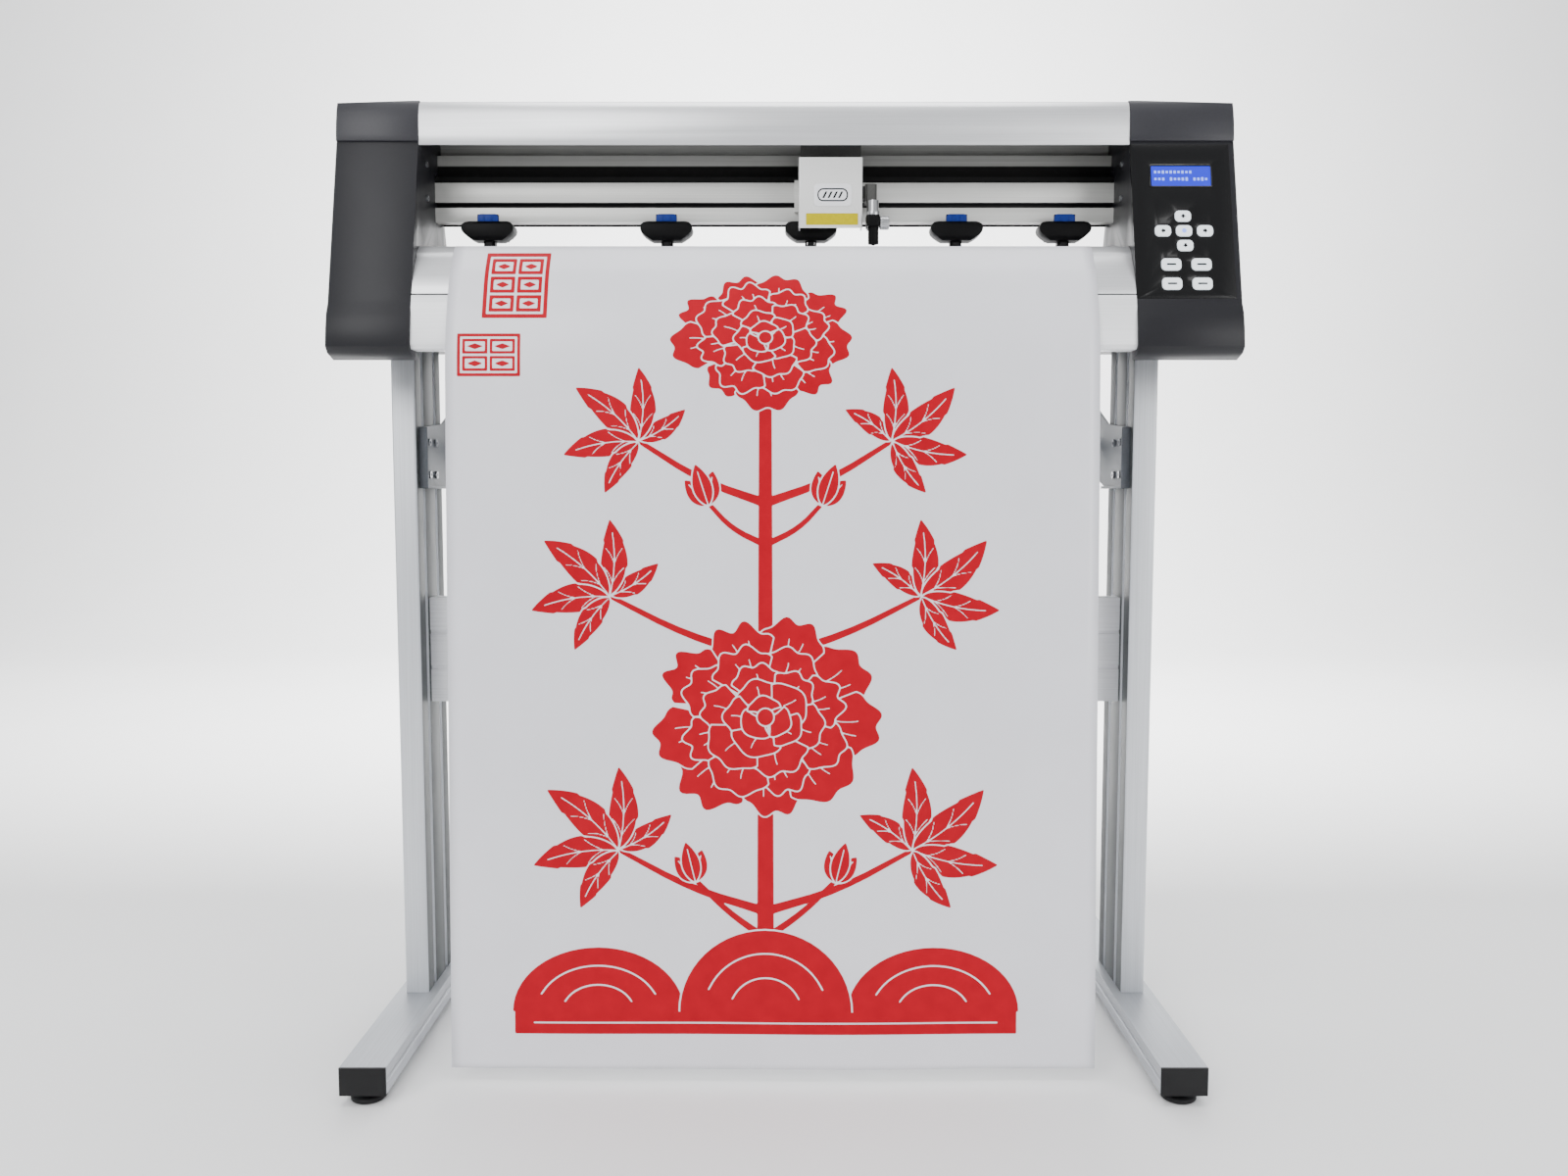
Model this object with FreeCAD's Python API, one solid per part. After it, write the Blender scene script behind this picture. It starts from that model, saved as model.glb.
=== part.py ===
import FreeCAD, Part
import math
import os

# Vinyl cutter (cutting plotter) on a floor stand, millimetres, +Z up, front towards -Y.
# Origin: centre of the footprint on the floor.
V = FreeCAD.Vector

# ---------------------------------------------------------------- driving dimensions
HALF_W = 450.0            # half of the overall width over the side covers
XL, XR = -368.0, 346.0    # inner faces of the side covers (media opening)
STAND_CX = -11.0          # middle of the stand, which is centred on the opening
POST_DX = 391.0           # post centre from the middle of the stand
POST_W, POST_D = 25.0, 94.0
FOOT_W, FOOT_HALF_D = 45.0, 221.0
FOOT_Z0, FOOT_Z1 = 10.0, 37.0
PAD_R, PAD_H, PAD_Y = 17.0, 5.0, 202.0
STUD_R = 4.0
FIT = 0.05                # radial clearance of every running fit
BOTTOM_Z = 744.0          # underside of the chassis plate
PLATEN_Z = 830.0          # top of the platen
SHAFT_Y, SHAFT_Z, SHAFT_R = -42.0, 818.9, 11.1
WHEEL_R, WHEEL_Z = 8.0, 839.0
BEAM_Y0, BEAM_Y1 = -31.0, -6.0
BEAM_Z0, BEAM_Z1 = 866.3, 907.2
PINCH_X = (-308.0, -123.0, 27.0, 178.0, 290.0)
BANDS = ((-345.0, -243.0), (-190.0, -74.0), (-22.0, 76.0), (129.0, 207.0), (261.0, 322.0))
BELT_Y, BELT_R, BELT_Z0, BELT_Z1 = -19.0, 7.0, 909.2, 914.2
PULLEY_XL, PULLEY_XR = -396.0, 374.0
TOOL_X, TOOL_Y = 89.8, -77.0
ROD_Y, ROD_Z, ROD_R, JOURNAL_R = (120.0, 185.0), 640.0, 11.0, 5.0
SHEET_X0, SHEET_X1, SHEET_T = -331.5, 307.5, 0.4
COVER_T = 3.0
P1 = (-86.4, 932.9)       # top of the sloping control face
P2 = (-122.7, 768.0)      # bottom of the sloping control face

os.makedirs("parts", exist_ok=True)


# ---------------------------------------------------------------- helpers
def box(x0, x1, y0, y1, z0, z1):
    return Part.makeBox(x1 - x0, y1 - y0, z1 - z0, V(x0, y0, z0))


def cyl(r, p0, p1):
    a, b = V(*p0), V(*p1)
    return Part.makeCylinder(r, (b - a).Length, a, b - a)


def prism(pts, x0, x1):
    """Extrude a (y, z) outline along X."""
    vs = [V(x0, p[0], p[1]) for p in pts]
    face = Part.Face(Part.makePolygon(vs + [vs[0]]))
    return face.extrude(V(x1 - x0, 0, 0))


def strip(pts, t, x0, x1):
    """Extrude a sheet of thickness t to the left of a (y, z) path."""
    return prism(list(pts) + list(reversed(shift(pts, t))), x0, x1)


def shift(pts, t):
    out = []
    n = len(pts)
    nor = []
    for i in range(n - 1):
        dy, dz = pts[i + 1][0] - pts[i][0], pts[i + 1][1] - pts[i][1]
        l = math.hypot(dy, dz)
        nor.append((-dz / l, dy / l))
    for i in range(n):
        if i == 0:
            a = b = nor[0]
        elif i == n - 1:
            a = b = nor[-1]
        else:
            a, b = nor[i - 1], nor[i]
        k = 1.0 + a[0] * b[0] + a[1] * b[1]
        out.append((pts[i][0] + t * (a[0] + b[0]) / k, pts[i][1] + t * (a[1] + b[1]) / k))
    return out


def inset(pts, t):
    """Shrink a closed outline that runs clockwise as (y, z) by t."""
    n = len(pts)
    out = []
    for i in range(n):
        p, q, r = pts[i - 1], pts[i], pts[(i + 1) % n]
        res = []
        for a, b in ((p, q), (q, r)):
            dy, dz = b[0] - a[0], b[1] - a[1]
            l = math.hypot(dy, dz)
            res.append((dz / l, -dy / l))
        k = 1.0 + res[0][0] * res[1][0] + res[0][1] * res[1][1]
        out.append((q[0] + t * (res[0][0] + res[1][0]) / k, q[1] + t * (res[0][1] + res[1][1]) / k))
    return out


def arc(p0, p1, bulge, n):
    """Points from p0 to p1 on a shallow arc whose middle stands off by bulge to the left."""
    dy, dz = p1[0] - p0[0], p1[1] - p0[1]
    l = math.hypot(dy, dz)
    ny, nz = -dz / l, dy / l
    return [(p0[0] + dy * s + ny * bulge * 4 * s * (1 - s), p0[1] + dz * s + nz * bulge * 4 * s * (1 - s))
            for s in [i / n for i in range(n + 1)]]


def fuse(shapes):
    s = shapes[0]
    if len(shapes) > 1:
        s = s.multiFuse(shapes[1:])
    return s.removeSplitter()


def rbox(x0, x1, y0, y1, z0, z1, r):
    """Box with rounded vertical (Z) edges."""
    b = box(x0, x1, y0, y1, z0, z1)
    es = [e for e in b.Edges if abs(e.Vertexes[0].Z - e.Vertexes[1].Z) > 1e-6]
    return b.makeFillet(r, es)


def save(node, shape):
    if shape.ShapeType == "Compound" and len(shape.Solids) == 1:
        shape = shape.Solids[0]
    shape.exportStep("parts/%s.step" % node)
    print(node, len(shape.Solids), "valid" if shape.isValid() else "INVALID", round(shape.Volume / 1000.0, 2))


FX = (STAND_CX - POST_DX, STAND_CX + POST_DX)
IN_L, IN_R = FX[0] + POST_W / 2, FX[1] - POST_W / 2

# ---------------------------------------------------------------- stand
feet = []
caps = []
for x in FX:
    b = box(x - FOOT_W / 2, x + FOOT_W / 2, -FOOT_HALF_D + 3, FOOT_HALF_D - 3, FOOT_Z0, FOOT_Z1)
    b = b.cut(box(x - FOOT_W / 2 + 2.5, x + FOOT_W / 2 - 2.5, -FOOT_HALF_D, FOOT_HALF_D, FOOT_Z0 + 2.5, FOOT_Z1 - 2.5))
    for s in (-1, 1):
        b = b.cut(cyl(STUD_R + FIT, (x, s * PAD_Y, 5), (x, s * PAD_Y, 20)))
        b = b.cut(box(x + s * FOOT_W / 2 - 1.0, x + s * FOOT_W / 2 + 1.0, -300, 300, 21.5, 25.5))
    feet.append(b)
    for s in (-1, 1):
        y = s * (FOOT_HALF_D - 3)
        plate = rbox(x - FOOT_W / 2, x + FOOT_W / 2, min(y, y + 3 * s), max(y, y + 3 * s), FOOT_Z0, FOOT_Z1, 1.2)
        plug = box(x - FOOT_W / 2 + 2.8, x + FOOT_W / 2 - 2.8, min(y, y - 5 * s), max(y, y - 5 * s), FOOT_Z0 + 2.8, FOOT_Z1 - 2.8)
        caps.append(plate.fuse(plug).removeSplitter())
save("foot_beams", Part.makeCompound(feet))
save("foot_end_caps", Part.makeCompound(caps))

posts = []
for x in FX:
    b = box(x - POST_W / 2, x + POST_W / 2, -POST_D / 2, POST_D / 2, FOOT_Z1, BOTTOM_Z)
    es = [e for e in b.Edges if abs(e.Vertexes[0].Z - e.Vertexes[1].Z) > 100]
    b = b.makeFillet(2.0, es)
    for (y0, y1) in ((-44, -30), (-14, 14), (30, 44)):
        b = b.cut(box(x - 9.5, x + 9.5, y0, y1, FOOT_Z1 - 1, BOTTOM_Z + 1))
    for s in (-1, 1):
        for yc in (-22, 22):
            b = b.cut(box(x + s * POST_W / 2 - 3, x + s * POST_W / 2 + 3, yc - 4, yc + 4, FOOT_Z1 - 1, BOTTOM_Z + 1))
    posts.append(b)
save("posts", Part.makeCompound(posts))

bar = box(IN_L, IN_R, -12, 12, 353, 468)
for z0, z1 in ((356, 388), (394, 427), (433, 465)):
    bar = bar.cut(box(IN_L - 1, IN_R + 1, -9, 9, z0, z1))
for s in (-1, 1):
    for zc in (391, 430):
        bar = bar.cut(box(IN_L - 1, IN_R + 1, s * 12 - 2, s * 12 + 2, zc - 2, zc + 2))
save("crossbar", bar)

# roll holder brackets: one folded plate on the inner face of each post
out = []
prof = [(-37, 587), (45, 587), (90, 600), (205, 615), (205, 679), (90, 679), (45, 660), (-37, 652)]
for xa, s in ((IN_L, 1), (IN_R, -1)):
    x0, x1 = sorted((xa, xa + 3 * s))
    f0, f1 = sorted((xa, xa + 9 * s))
    b = prism(prof, x0, x1)
    b = b.fuse(prism([(-37, 587), (45, 587), (45, 590), (-34, 590), (-34, 652), (-37, 652)], f0, f1)).removeSplitter()
    for y in ROD_Y:
        b = b.cut(cyl(JOURNAL_R + FIT, (xa - 10, y, ROD_Z), (xa + 10, y, ROD_Z)))
    out.append(b)
save("roll_brackets", Part.makeCompound(out))

for name, y in (("roll_rod_front", ROD_Y[0]), ("roll_rod_rear", ROD_Y[1])):
    r = cyl(ROD_R, (IN_L + 4, y, ROD_Z), (IN_R - 4, y, ROD_Z))
    r = r.cut(cyl(ROD_R - 2.0, (IN_L + 9, y, ROD_Z), (IN_R - 9, y, ROD_Z)))
    r = r.cut(cyl(1.5, (IN_L - 5, y, ROD_Z), (IN_R + 5, y, ROD_Z)))
    r = fuse([r, cyl(JOURNAL_R, (IN_L - 3, y, ROD_Z), (IN_L + 5, y, ROD_Z)),
              cyl(JOURNAL_R, (IN_R - 5, y, ROD_Z), (IN_R + 3, y, ROD_Z))])
    r = r.cut(cyl(1.5, (IN_L - 5, y, ROD_Z), (IN_R + 5, y, ROD_Z)))
    save(name, r)

for name, x, y in (("levelling_foot_fl", FX[0], -PAD_Y), ("levelling_foot_fr", FX[1], -PAD_Y),
                   ("levelling_foot_rl", FX[0], PAD_Y), ("levelling_foot_rr", FX[1], PAD_Y)):
    p = cyl(PAD_R, (x, y, 0), (x, y, PAD_H))
    p = p.makeChamfer(1.2, [e for e in p.Edges if e.Length > 50])
    p = fuse([p, cyl(7.5, (x, y, PAD_H), (x, y, PAD_H + 3.0)), cyl(STUD_R, (x, y, PAD_H), (x, y, 33))])
    save(name, p)

# ---------------------------------------------------------------- chassis, platen, apron, beam
BX0, BX1 = XL - 5.3, XR + 5.3
plate_prof = [(-104, BOTTOM_Z), (-117, 760), (-117, 772), (-79, 945), (-8, 945), (-1.5, 870), (11, 826.5), (81, 786.5), (81, BOTTOM_Z)]
parts = []
for x0, x1 in ((BX0, BX0 + 3), (BX1 - 3, BX1)):
    parts.append(prism(plate_prof, x0, x1))
parts.append(box(BX0, BX1, -104, 81, BOTTOM_Z, BOTTOM_Z + 3))
parts.append(prism([(12.5, 829.6), (81, 790.0), (81, BOTTOM_Z), (79, BOTTOM_Z), (79, 788.8), (12.5, 827.3)], BX0, BX1))
chassis = fuse(parts)
for x0, x1 in ((BX0, BX0 + 3), (BX1 - 3, BX1)):
    chassis = chassis.cut(cyl(6.0 + FIT, (x0 - 1, SHAFT_Y, SHAFT_Z), (x1 + 1, SHAFT_Y, SHAFT_Z)))
    chassis = chassis.cut(box(x0 - 1, x1 + 1, -30, -8, 908.0, 915.4))
# idler bracket and pin for the carriage belt
idler = fuse([box(PULLEY_XL - 9, BX0, BELT_Y - 8, BELT_Y + 8, 903.5, 906.5),
              cyl(2.5, (PULLEY_XL, BELT_Y, 905), (PULLEY_XL, BELT_Y, 917))])
chassis = chassis.fuse(idler).removeSplitter()
# shelves for the two motors
chassis = chassis.fuse(box(BX1, 412, -63.5, -20.5, 792, 795)).removeSplitter()
chassis = chassis.fuse(box(BX1, 393, -37, -1.6, 882.4, 885.4).cut(cyl(4.5, (PULLEY_XR, BELT_Y, 880), (PULLEY_XR, BELT_Y, 890)))).removeSplitter()

nose = [(-88.0, 830.0), (-93.0, 827.6), (-98.0, 822.6), (-103.0, 815.2), (-108.5, 807.0), (-113.5, 798.0), (-118.0, 787.5), (-121.0, 777.6)]
outer = [(12.0, 830.0)] + nose
inner = shift(outer, 2.2)
pl = [prism(list(outer) + list(reversed(inner)), XL - 2.3, XR + 2.3)]
for y0 in (-76.0, 3.0):
    pl.append(box(XL - 2.3, XR + 2.3, y0, y0 + 2.2, BOTTOM_Z + 3, 829))
platen = fuse(pl)
for a, b in BANDS:
    platen = platen.cut(box(a - 1.5, b + 1.5, SHAFT_Y - 8.5, SHAFT_Y + 8.5, 820, 840))
# cutting strip channel along the blade line, and longitudinal glide grooves
platen = platen.cut(box(XL - 5, XR + 5, TOOL_Y - 3.0, TOOL_Y + 3.0, 829.3, 840))
for y in (-66, -22, -12, -2):
    platen = platen.cut(box(XL - 5, XR + 5, y - 0.8, y + 0.8, 829.5, 840))

apron_path = [(-106.0, 746.5), (-106.0, 722.7), (-127.0, 722.7), (-130.0, 727.0), (-128.2, 742.0), (-124.8, 764.0), (-121.6, 776.4)]
apron = strip(list(reversed(apron_path)), 2.0, XL, XR)
for x0, x1 in ((XL - 4, XL), (XR, XR + 4)):
    platen = platen.cut(box(x0, x1, -140, -100, 740, 832))

beam = prism([(BEAM_Y0, BEAM_Z0), (-21.0, BEAM_Z0), (BEAM_Y1, 869.8), (BEAM_Y1, BEAM_Z1), (BEAM_Y0, BEAM_Z1)], XL - 2.3, XR + 2.3)
beam = beam.cut(box(XL - 5, XR + 5, BEAM_Y0 - 1, -24.0, 881.5, 886.5))
beam = beam.cut(box(XL - 5, XR + 5, -28.0, -24.0, BEAM_Z0 - 1, 870.0))
beam = beam.cut(box(XL - 5, XR + 5, -29.5, -22.5, 869.3, 872.6))
beam = beam.cut(box(XL - 5, XR + 5, -20.0, -8.5, 873.5, 904.7))
beam = beam.cut(box(XL - 5, XR + 5, -29.0, -22.0, 889.5, 904.7))

# ---------------------------------------------------------------- covers between the side covers
top_path = [(-86.0, 930.5), (-86.3, 940.0), (-85.9, 950.0), (-84.8, 960.0), (-83.0, 968.0), (-80.4, 973.2), (-76.5, 975.4),
            (-45.0, 976.0), (-18.0, 975.2), (-12.0, 972.5), (-9.0, 966.0)]
top_cover = prism(list(top_path) + list(reversed(shift(top_path, -2.5))), XL, XR)
rear_path = [(-11.8, 965.0), (-5.5, 950.0), (-1.0, 915.0), (1.0, 870.0), (-1.2, 868.0)]
back = fuse([prism(list(rear_path) + list(reversed(shift(rear_path, -2.0))), XL, XR),
             box(XL, XR, -20.0, -1.6, 915.6, 917.6), box(XL, XR, -20.0, -18.0, 915.6, 938.0),
             box(XL, XR, -20.0, -6.0, 936.0, 938.0)])

# ---------------------------------------------------------------- side covers
top_front = [(-87.8, 934.2)] + [(-87.6, 942.0), (-86.4, 953.0), (-84.4, 963.0), (-81.6, 972.0), (-79.0, 975.8)]
prof_out = ([(-104.0, 742.0), (-108.0, 715.0), (-112.0, 713.8), (-128.0, 719.0), (-133.0, 725.0), (-130.8, 743.0), (-127.6, 758.0),
             P2, P1, (-85.6, 933.4)] + top_front + [(-16.0, 976.0), (-10.0, 971.0), (-2.0, 950.0), (2.6, 870.0), (14.0, 833.0),
             (85.0, 792.0), (85.0, 742.0)])
prof_in = inset([p for p in prof_out if p not in ((-85.6, 933.4), (-87.8, 934.2))], COVER_T)


def side_cover(x0, x1, inner_right):
    """Hollow moulded cover; inner_right tells which side faces the media opening."""
    c = prism(prof_out, x0, x1)
    # outer rim softened on its long edges by a plain chamfer band
    z_hi = 976.5
    if inner_right:
        w = Part.Face(Part.makePolygon([V(x0 - 1, -200, 972.8), V(x0 - 1, -200, z_hi), V(x1, -200, z_hi), V(x1, -200, 976.1), V(x0 - 1, -200, 972.8)]))
    else:
        w = Part.Face(Part.makePolygon([V(x1 + 1, -200, 972.8), V(x1 + 1, -200, z_hi), V(x0, -200, z_hi), V(x0, -200, 976.1), V(x1 + 1, -200, 972.8)]))
    c = c.cut(w.extrude(V(0, 400, 0)))
    cx0, cx1 = (x0 + COVER_T, x1 - 2.0) if inner_right else (x0 + 2.0, x1 - COVER_T)
    c = c.cut(prism(prof_in, cx0, cx1))
    # the wall towards the opening is left out below the platen, where the frame closes it
    wx0, wx1 = (x1 - 2.5, x1 + 1) if inner_right else (x0 - 1, x0 + 2.5)
    c = c.cut(box(wx0, wx1, -72.0, 74.0, BOTTOM_Z + 4, 786.0))
    c = c.cut(cyl(12.5, (wx0, SHAFT_Y, SHAFT_Z), (wx1, SHAFT_Y, SHAFT_Z)))
    c = c.cut(box(wx0, wx1, -30.0, -8.0, 908.0, 915.5))
    return c


left = side_cover(-HALF_W, XL, True)
right = side_cover(XR, HALF_W, False)
for s in [chassis, platen, beam] + posts:
    left = left.cut(s)
    right = right.cut(s)
left = max(left.Solids, key=lambda q: q.Volume)
right = max(right.Solids, key=lambda q: q.Volume)

# local frame of the control face: X right, Y up the slope, Z outwards
SL = math.hypot(P2[0] - P1[0], P2[1] - P1[1])
ANG = math.degrees(math.atan2(P1[1] - P2[1], P1[0] - P2[0]))


def on_face(shape):
    s = shape.copy()
    s.Placement = FreeCAD.Placement(V(0, P1[0], P1[1]), FreeCAD.Rotation(V(1, 0, 0), ANG)).multiply(s.Placement)
    return s


def pad(x, u, w, h, z0, z1, r):
    """Rounded block on the control face, centred at x and u millimetres below its top edge."""
    return rbox(x - w / 2, x + w / 2, -u - h / 2, -u + h / 2, z0, z1, r)


KEYS = {"key_up": (395.5, 0.465, 15.9, 11.4), "key_left": (375.0, 0.556, 15.9, 11.4), "key_enter": (396.0, 0.556, 15.9, 11.4),
        "key_right": (416.8, 0.556, 15.9, 11.4), "key_down": (396.5, 0.647, 15.9, 11.4),
        "key_wide_1": (381.8, 0.763, 19.7, 12.4), "key_wide_2": (411.7, 0.763, 19.7, 12.4),
        "key_wide_3": (381.8, 0.881, 19.7, 12.4), "key_wide_4": (411.7, 0.881, 19.7, 12.4)}
LCD = (395.5, 36.0, 59.4, 20.8)
panel = rbox(XR, 444.5, -164.0, -2.5, -1.6, 0.1, 0.5)
pocket = box(XR - 1, 444.6, -164.1, -2.4, -1.6, 6.0)
right = right.cut(on_face(pocket))
win = pad(LCD[0], LCD[1], LCD[2], LCD[3], -1.6, -0.1, 1.0)
panel = panel.cut(pad(LCD[0], LCD[1], LCD[2] + 0.1, LCD[3] + 0.1, -3.0, 3.0, 1.0))
right = right.cut(on_face(pad(LCD[0], LCD[1], LCD[2] - 4, LCD[3] - 4, -8.0, 3.0, 1.0)))
for k, (x, t, w, h) in KEYS.items():
    u = t * SL
    panel = panel.cut(pad(x, u, w + 0.6, h + 0.6, -3.0, 3.0, 4.6))
    right = right.cut(on_face(pad(x, u, w + 0.6, h + 0.6, -8.0, 3.0, 4.6)))
    key = pad(x, u, w, h, -4.6, 1.0, 4.3)
    top = [e for e in key.Edges if all(abs(v.Z - 1.0) < 1e-6 for v in e.Vertexes)]
    key = key.makeChamfer(0.4, top)
    key = key.fuse(pad(x, u, w + 1.8, h + 1.8, -4.6, -3.3, 5.2)).removeSplitter()
    save(k, on_face(key))
save("control_panel", on_face(panel))
save("display_window", on_face(win))

# power inlet and switch on the rear wall of the right cover
IX, IZ, RY = 420.0, 766.5, 85.0
SX = 378.0
right = right.cut(box(IX - 14, IX + 14, RY - 10, RY + 2, IZ - 10.5, IZ + 10.5))
right = right.cut(box(SX - 9.5, SX + 9.5, RY - 10, RY + 2, IZ - 13, IZ + 13))
inlet = fuse([box(IX - 24, IX + 24, RY, RY + 2.5, IZ - 13.5, IZ + 13.5), box(IX - 13.9, IX + 13.9, RY - 24, RY, IZ - 10.4, IZ + 10.4)])
inlet = inlet.cut(box(IX - 12, IX + 12, RY - 16, RY + 4, IZ - 8, IZ + 8))
for dx, dz in ((-7, -1.5), (7, -1.5), (0, 2.5)):
    inlet = inlet.fuse(box(IX + dx - 1.0, IX + dx + 1.0, RY - 16.5, RY - 8, IZ + dz - 2.0, IZ + dz + 2.0))
inlet = inlet.removeSplitter()
save("power_inlet", inlet)
frame_sw = fuse([box(SX - 11, SX + 11, RY, RY + 2.0, IZ - 15, IZ + 15), box(SX - 9.4, SX + 9.4, RY - 16, RY, IZ - 12.9, IZ + 12.9)])
frame_sw = frame_sw.cut(box(SX - 7.5, SX + 7.5, RY - 13.5, RY + 4, IZ - 11.1, IZ + 11.1))
right = right.fuse(frame_sw).removeSplitter()
# rocker: a drum segment that turns about X inside its frame, tilted to its off position
rk = cyl(11.0, (SX - 7.4, RY - 2, IZ), (SX + 7.4, RY - 2, IZ))
rk = rk.common(fuse([prism([(RY - 12, IZ - 12), (RY + 2.6, IZ - 12), (RY + 0.9, IZ), (RY + 2.6, IZ + 12), (RY - 12, IZ + 12)], SX - 7.4, SX + 7.4)]))
rk.rotate(V(SX, RY - 2, IZ), V(1, 0, 0), 9.0)
save("rocker_switch", rk)

save("left_side_cover", left)
save("right_side_cover", right)
save("top_cover", top_cover)
save("back_cover", back)
save("base_chassis", chassis)
save("platen", platen)
save("front_apron", apron)
save("carriage_beam", beam)

# ---------------------------------------------------------------- drives and electronics
m1 = box(372, 410, SHAFT_Y - 21, SHAFT_Y + 21, 797.9 - 2.9, 839.9)
m1 = m1.cut(cyl(2.5 + FIT, (371, SHAFT_Y, SHAFT_Z), (384, SHAFT_Y, SHAFT_Z)))
m2 = box(PULLEY_XR - 17.5, PULLEY_XR + 17.5, BELT_Y - 17.5, BELT_Y + 17.5, 842.4, 882.4)
m2 = m2.cut(cyl(2.5 + FIT, (PULLEY_XR, BELT_Y, 872), (PULLEY_XR, BELT_Y, 884)))
save("stepper_motors", Part.makeCompound([m1, m2]))

shaft = [cyl(6.0, (BX0 - 6, SHAFT_Y, SHAFT_Z), (BX1 + 10, SHAFT_Y, SHAFT_Z)), cyl(2.5, (BX1 + 10, SHAFT_Y, SHAFT_Z), (382, SHAFT_Y, SHAFT_Z))]
for a, b in BANDS:
    shaft.append(cyl(SHAFT_R, (a, SHAFT_Y, SHAFT_Z), (b, SHAFT_Y, SHAFT_Z)))
save("grit_shaft", fuse(shaft))


def ring_path(r0, z0, z1):
    a = box(PULLEY_XL, PULLEY_XR, BELT_Y - r0, BELT_Y + r0, z0, z1)
    return fuse([a, cyl(r0, (PULLEY_XL, BELT_Y, z0), (PULLEY_XL, BELT_Y, z1)), cyl(r0, (PULLEY_XR, BELT_Y, z0), (PULLEY_XR, BELT_Y, z1))])


belt = ring_path(BELT_R + 0.7, BELT_Z0, BELT_Z1).cut(ring_path(BELT_R - 0.7, BELT_Z0 - 1, BELT_Z1 + 1))
save("drive_belt", belt)
PR = BELT_R - 0.7 - 0.3
pul = fuse([cyl(PR, (PULLEY_XR, BELT_Y, 908.0), (PULLEY_XR, BELT_Y, 916.0)), cyl(8.4, (PULLEY_XR, BELT_Y, 907.6), (PULLEY_XR, BELT_Y, 908.8)),
            cyl(8.4, (PULLEY_XR, BELT_Y, 914.6), (PULLEY_XR, BELT_Y, 916.0)), cyl(2.5, (PULLEY_XR, BELT_Y, 874), (PULLEY_XR, BELT_Y, 908))])
save("belt_drive_pulley", pul)
idl = fuse([cyl(PR, (PULLEY_XL, BELT_Y, 908.0), (PULLEY_XL, BELT_Y, 916.0)), cyl(8.4, (PULLEY_XL, BELT_Y, 907.6), (PULLEY_XL, BELT_Y, 908.8)),
            cyl(8.4, (PULLEY_XL, BELT_Y, 914.6), (PULLEY_XL, BELT_Y, 916.0))])
idl = idl.cut(cyl(2.5 + FIT, (PULLEY_XL, BELT_Y, 900), (PULLEY_XL, BELT_Y, 920)))
save("belt_idler_pulley", idl)

board = box(436.0, 437.6, -80, 60, 752, 782).fuse(box(436.0, 437.6, -80, -10, 782, 860)).removeSplitter()
bits = [board]
for (y0, y1, z0, z1, h) in ((-70, -44, 800, 826, 6), (-36, -16, 812, 850, 9), (-72, -30, 758, 772, 12), (-10, 22, 758, 776, 14), (34, 52, 758, 776, 11)):
    bits.append(box(436.0 - h, 436.0, y0, y1, z0, z1))
for (y, z) in ((-76, 756), (-76, 854), (-14, 854), (56, 756)):
    bits.append(cyl(2.5, (437.6, y, z), (HALF_W - COVER_T, y, z)))
save("main_board", fuse(bits))

# ---------------------------------------------------------------- vinyl sheet
sheet_path = [(88.0, 642.0), (88.4, 700.0), (88.6, 770.0), (87.2, 786.0), (83.5, 791.2), (76.0, 796.0), (20.0, 828.2), (12.0, 830.3),
              (-88.4, 830.3), (-93.4, 827.9), (-98.5, 822.8), (-103.5, 815.3), (-109.0, 807.0), (-114.0, 798.0), (-118.6, 787.4),
              (-123.0, 774.0), (-127.6, 761.0), (-132.4, 744.0), (-136.4, 724.0), (-139.2, 690.0), (-153.0, 390.0), (-170.0, 12.0)]
save("vinyl_sheet", strip(sheet_path, -SHEET_T, SHEET_X0, SHEET_X1))

# ---------------------------------------------------------------- carriage and tool
CX0, CX1 = 14.0, 78.7
blk = [box(10.0, 80.0, -36.0, -31.1, 876.0, 908.6), box(14.5, 79.5, -36.0, -31.1, 905.0, 926.0), box(16.5, 79.5, -36.0, -31.6, 920.0, 948.0),
       box(12.0, 78.0, -36.0, -24.5, 881.55, 886.45),
       box(12.0, 78.0, -36.0, -4.1, 907.3, 908.6),
       box(12.0, 78.0, -5.9, -4.1, 893.0, 908.6),
       box(24.0, 66.0, -36.0, -22.5, 907.3, 918.0),
       box(20.0, 74.0, -72.0, -36.0, 886.0, 916.0),
       box(74.0, 84.0, -58.0, -44.0, 884.0, 897.0),
       box(82.0, 94.0, -66.0, -44.0, 880.0, 897.0)]
blk = fuse(blk)
blk = blk.cut(box(0, 100, -27.0, -25.0, 908.9, 914.5))
blk = blk.cut(box(84.0, 92.0, -67.0, -60.9, 880.0, 910.0))
blk = blk.cut(box(26.0, 68.0, -66.0, -42.0, 892.0, 918.0))
save("carriage_block", blk)

cov = rbox(CX0, CX1, -76.0, -36.2, 851.0, 921.0, 1.6)
cov = cov.cut(box(CX0 + 1.5, CX1 - 1.5, -74.5, -30.0, 840.0, 919.5))
cov = cov.cut(box(CX0 - 1, CX1 + 1, -61.5, -30.0, 840.0, 884.0))
cov = cov.cut(box(CX1 - 6, CX1 + 4, -59.0, -43.0, 880.0, 907.0))
# stiffening rib ties the cover to the front of the block
cov = cov.fuse(box(CX0 + 1.0, CX1 - 1.0, -74.6, -72.0, 896.0, 912.0)).removeSplitter()
save("carriage_cover", cov)

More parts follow.
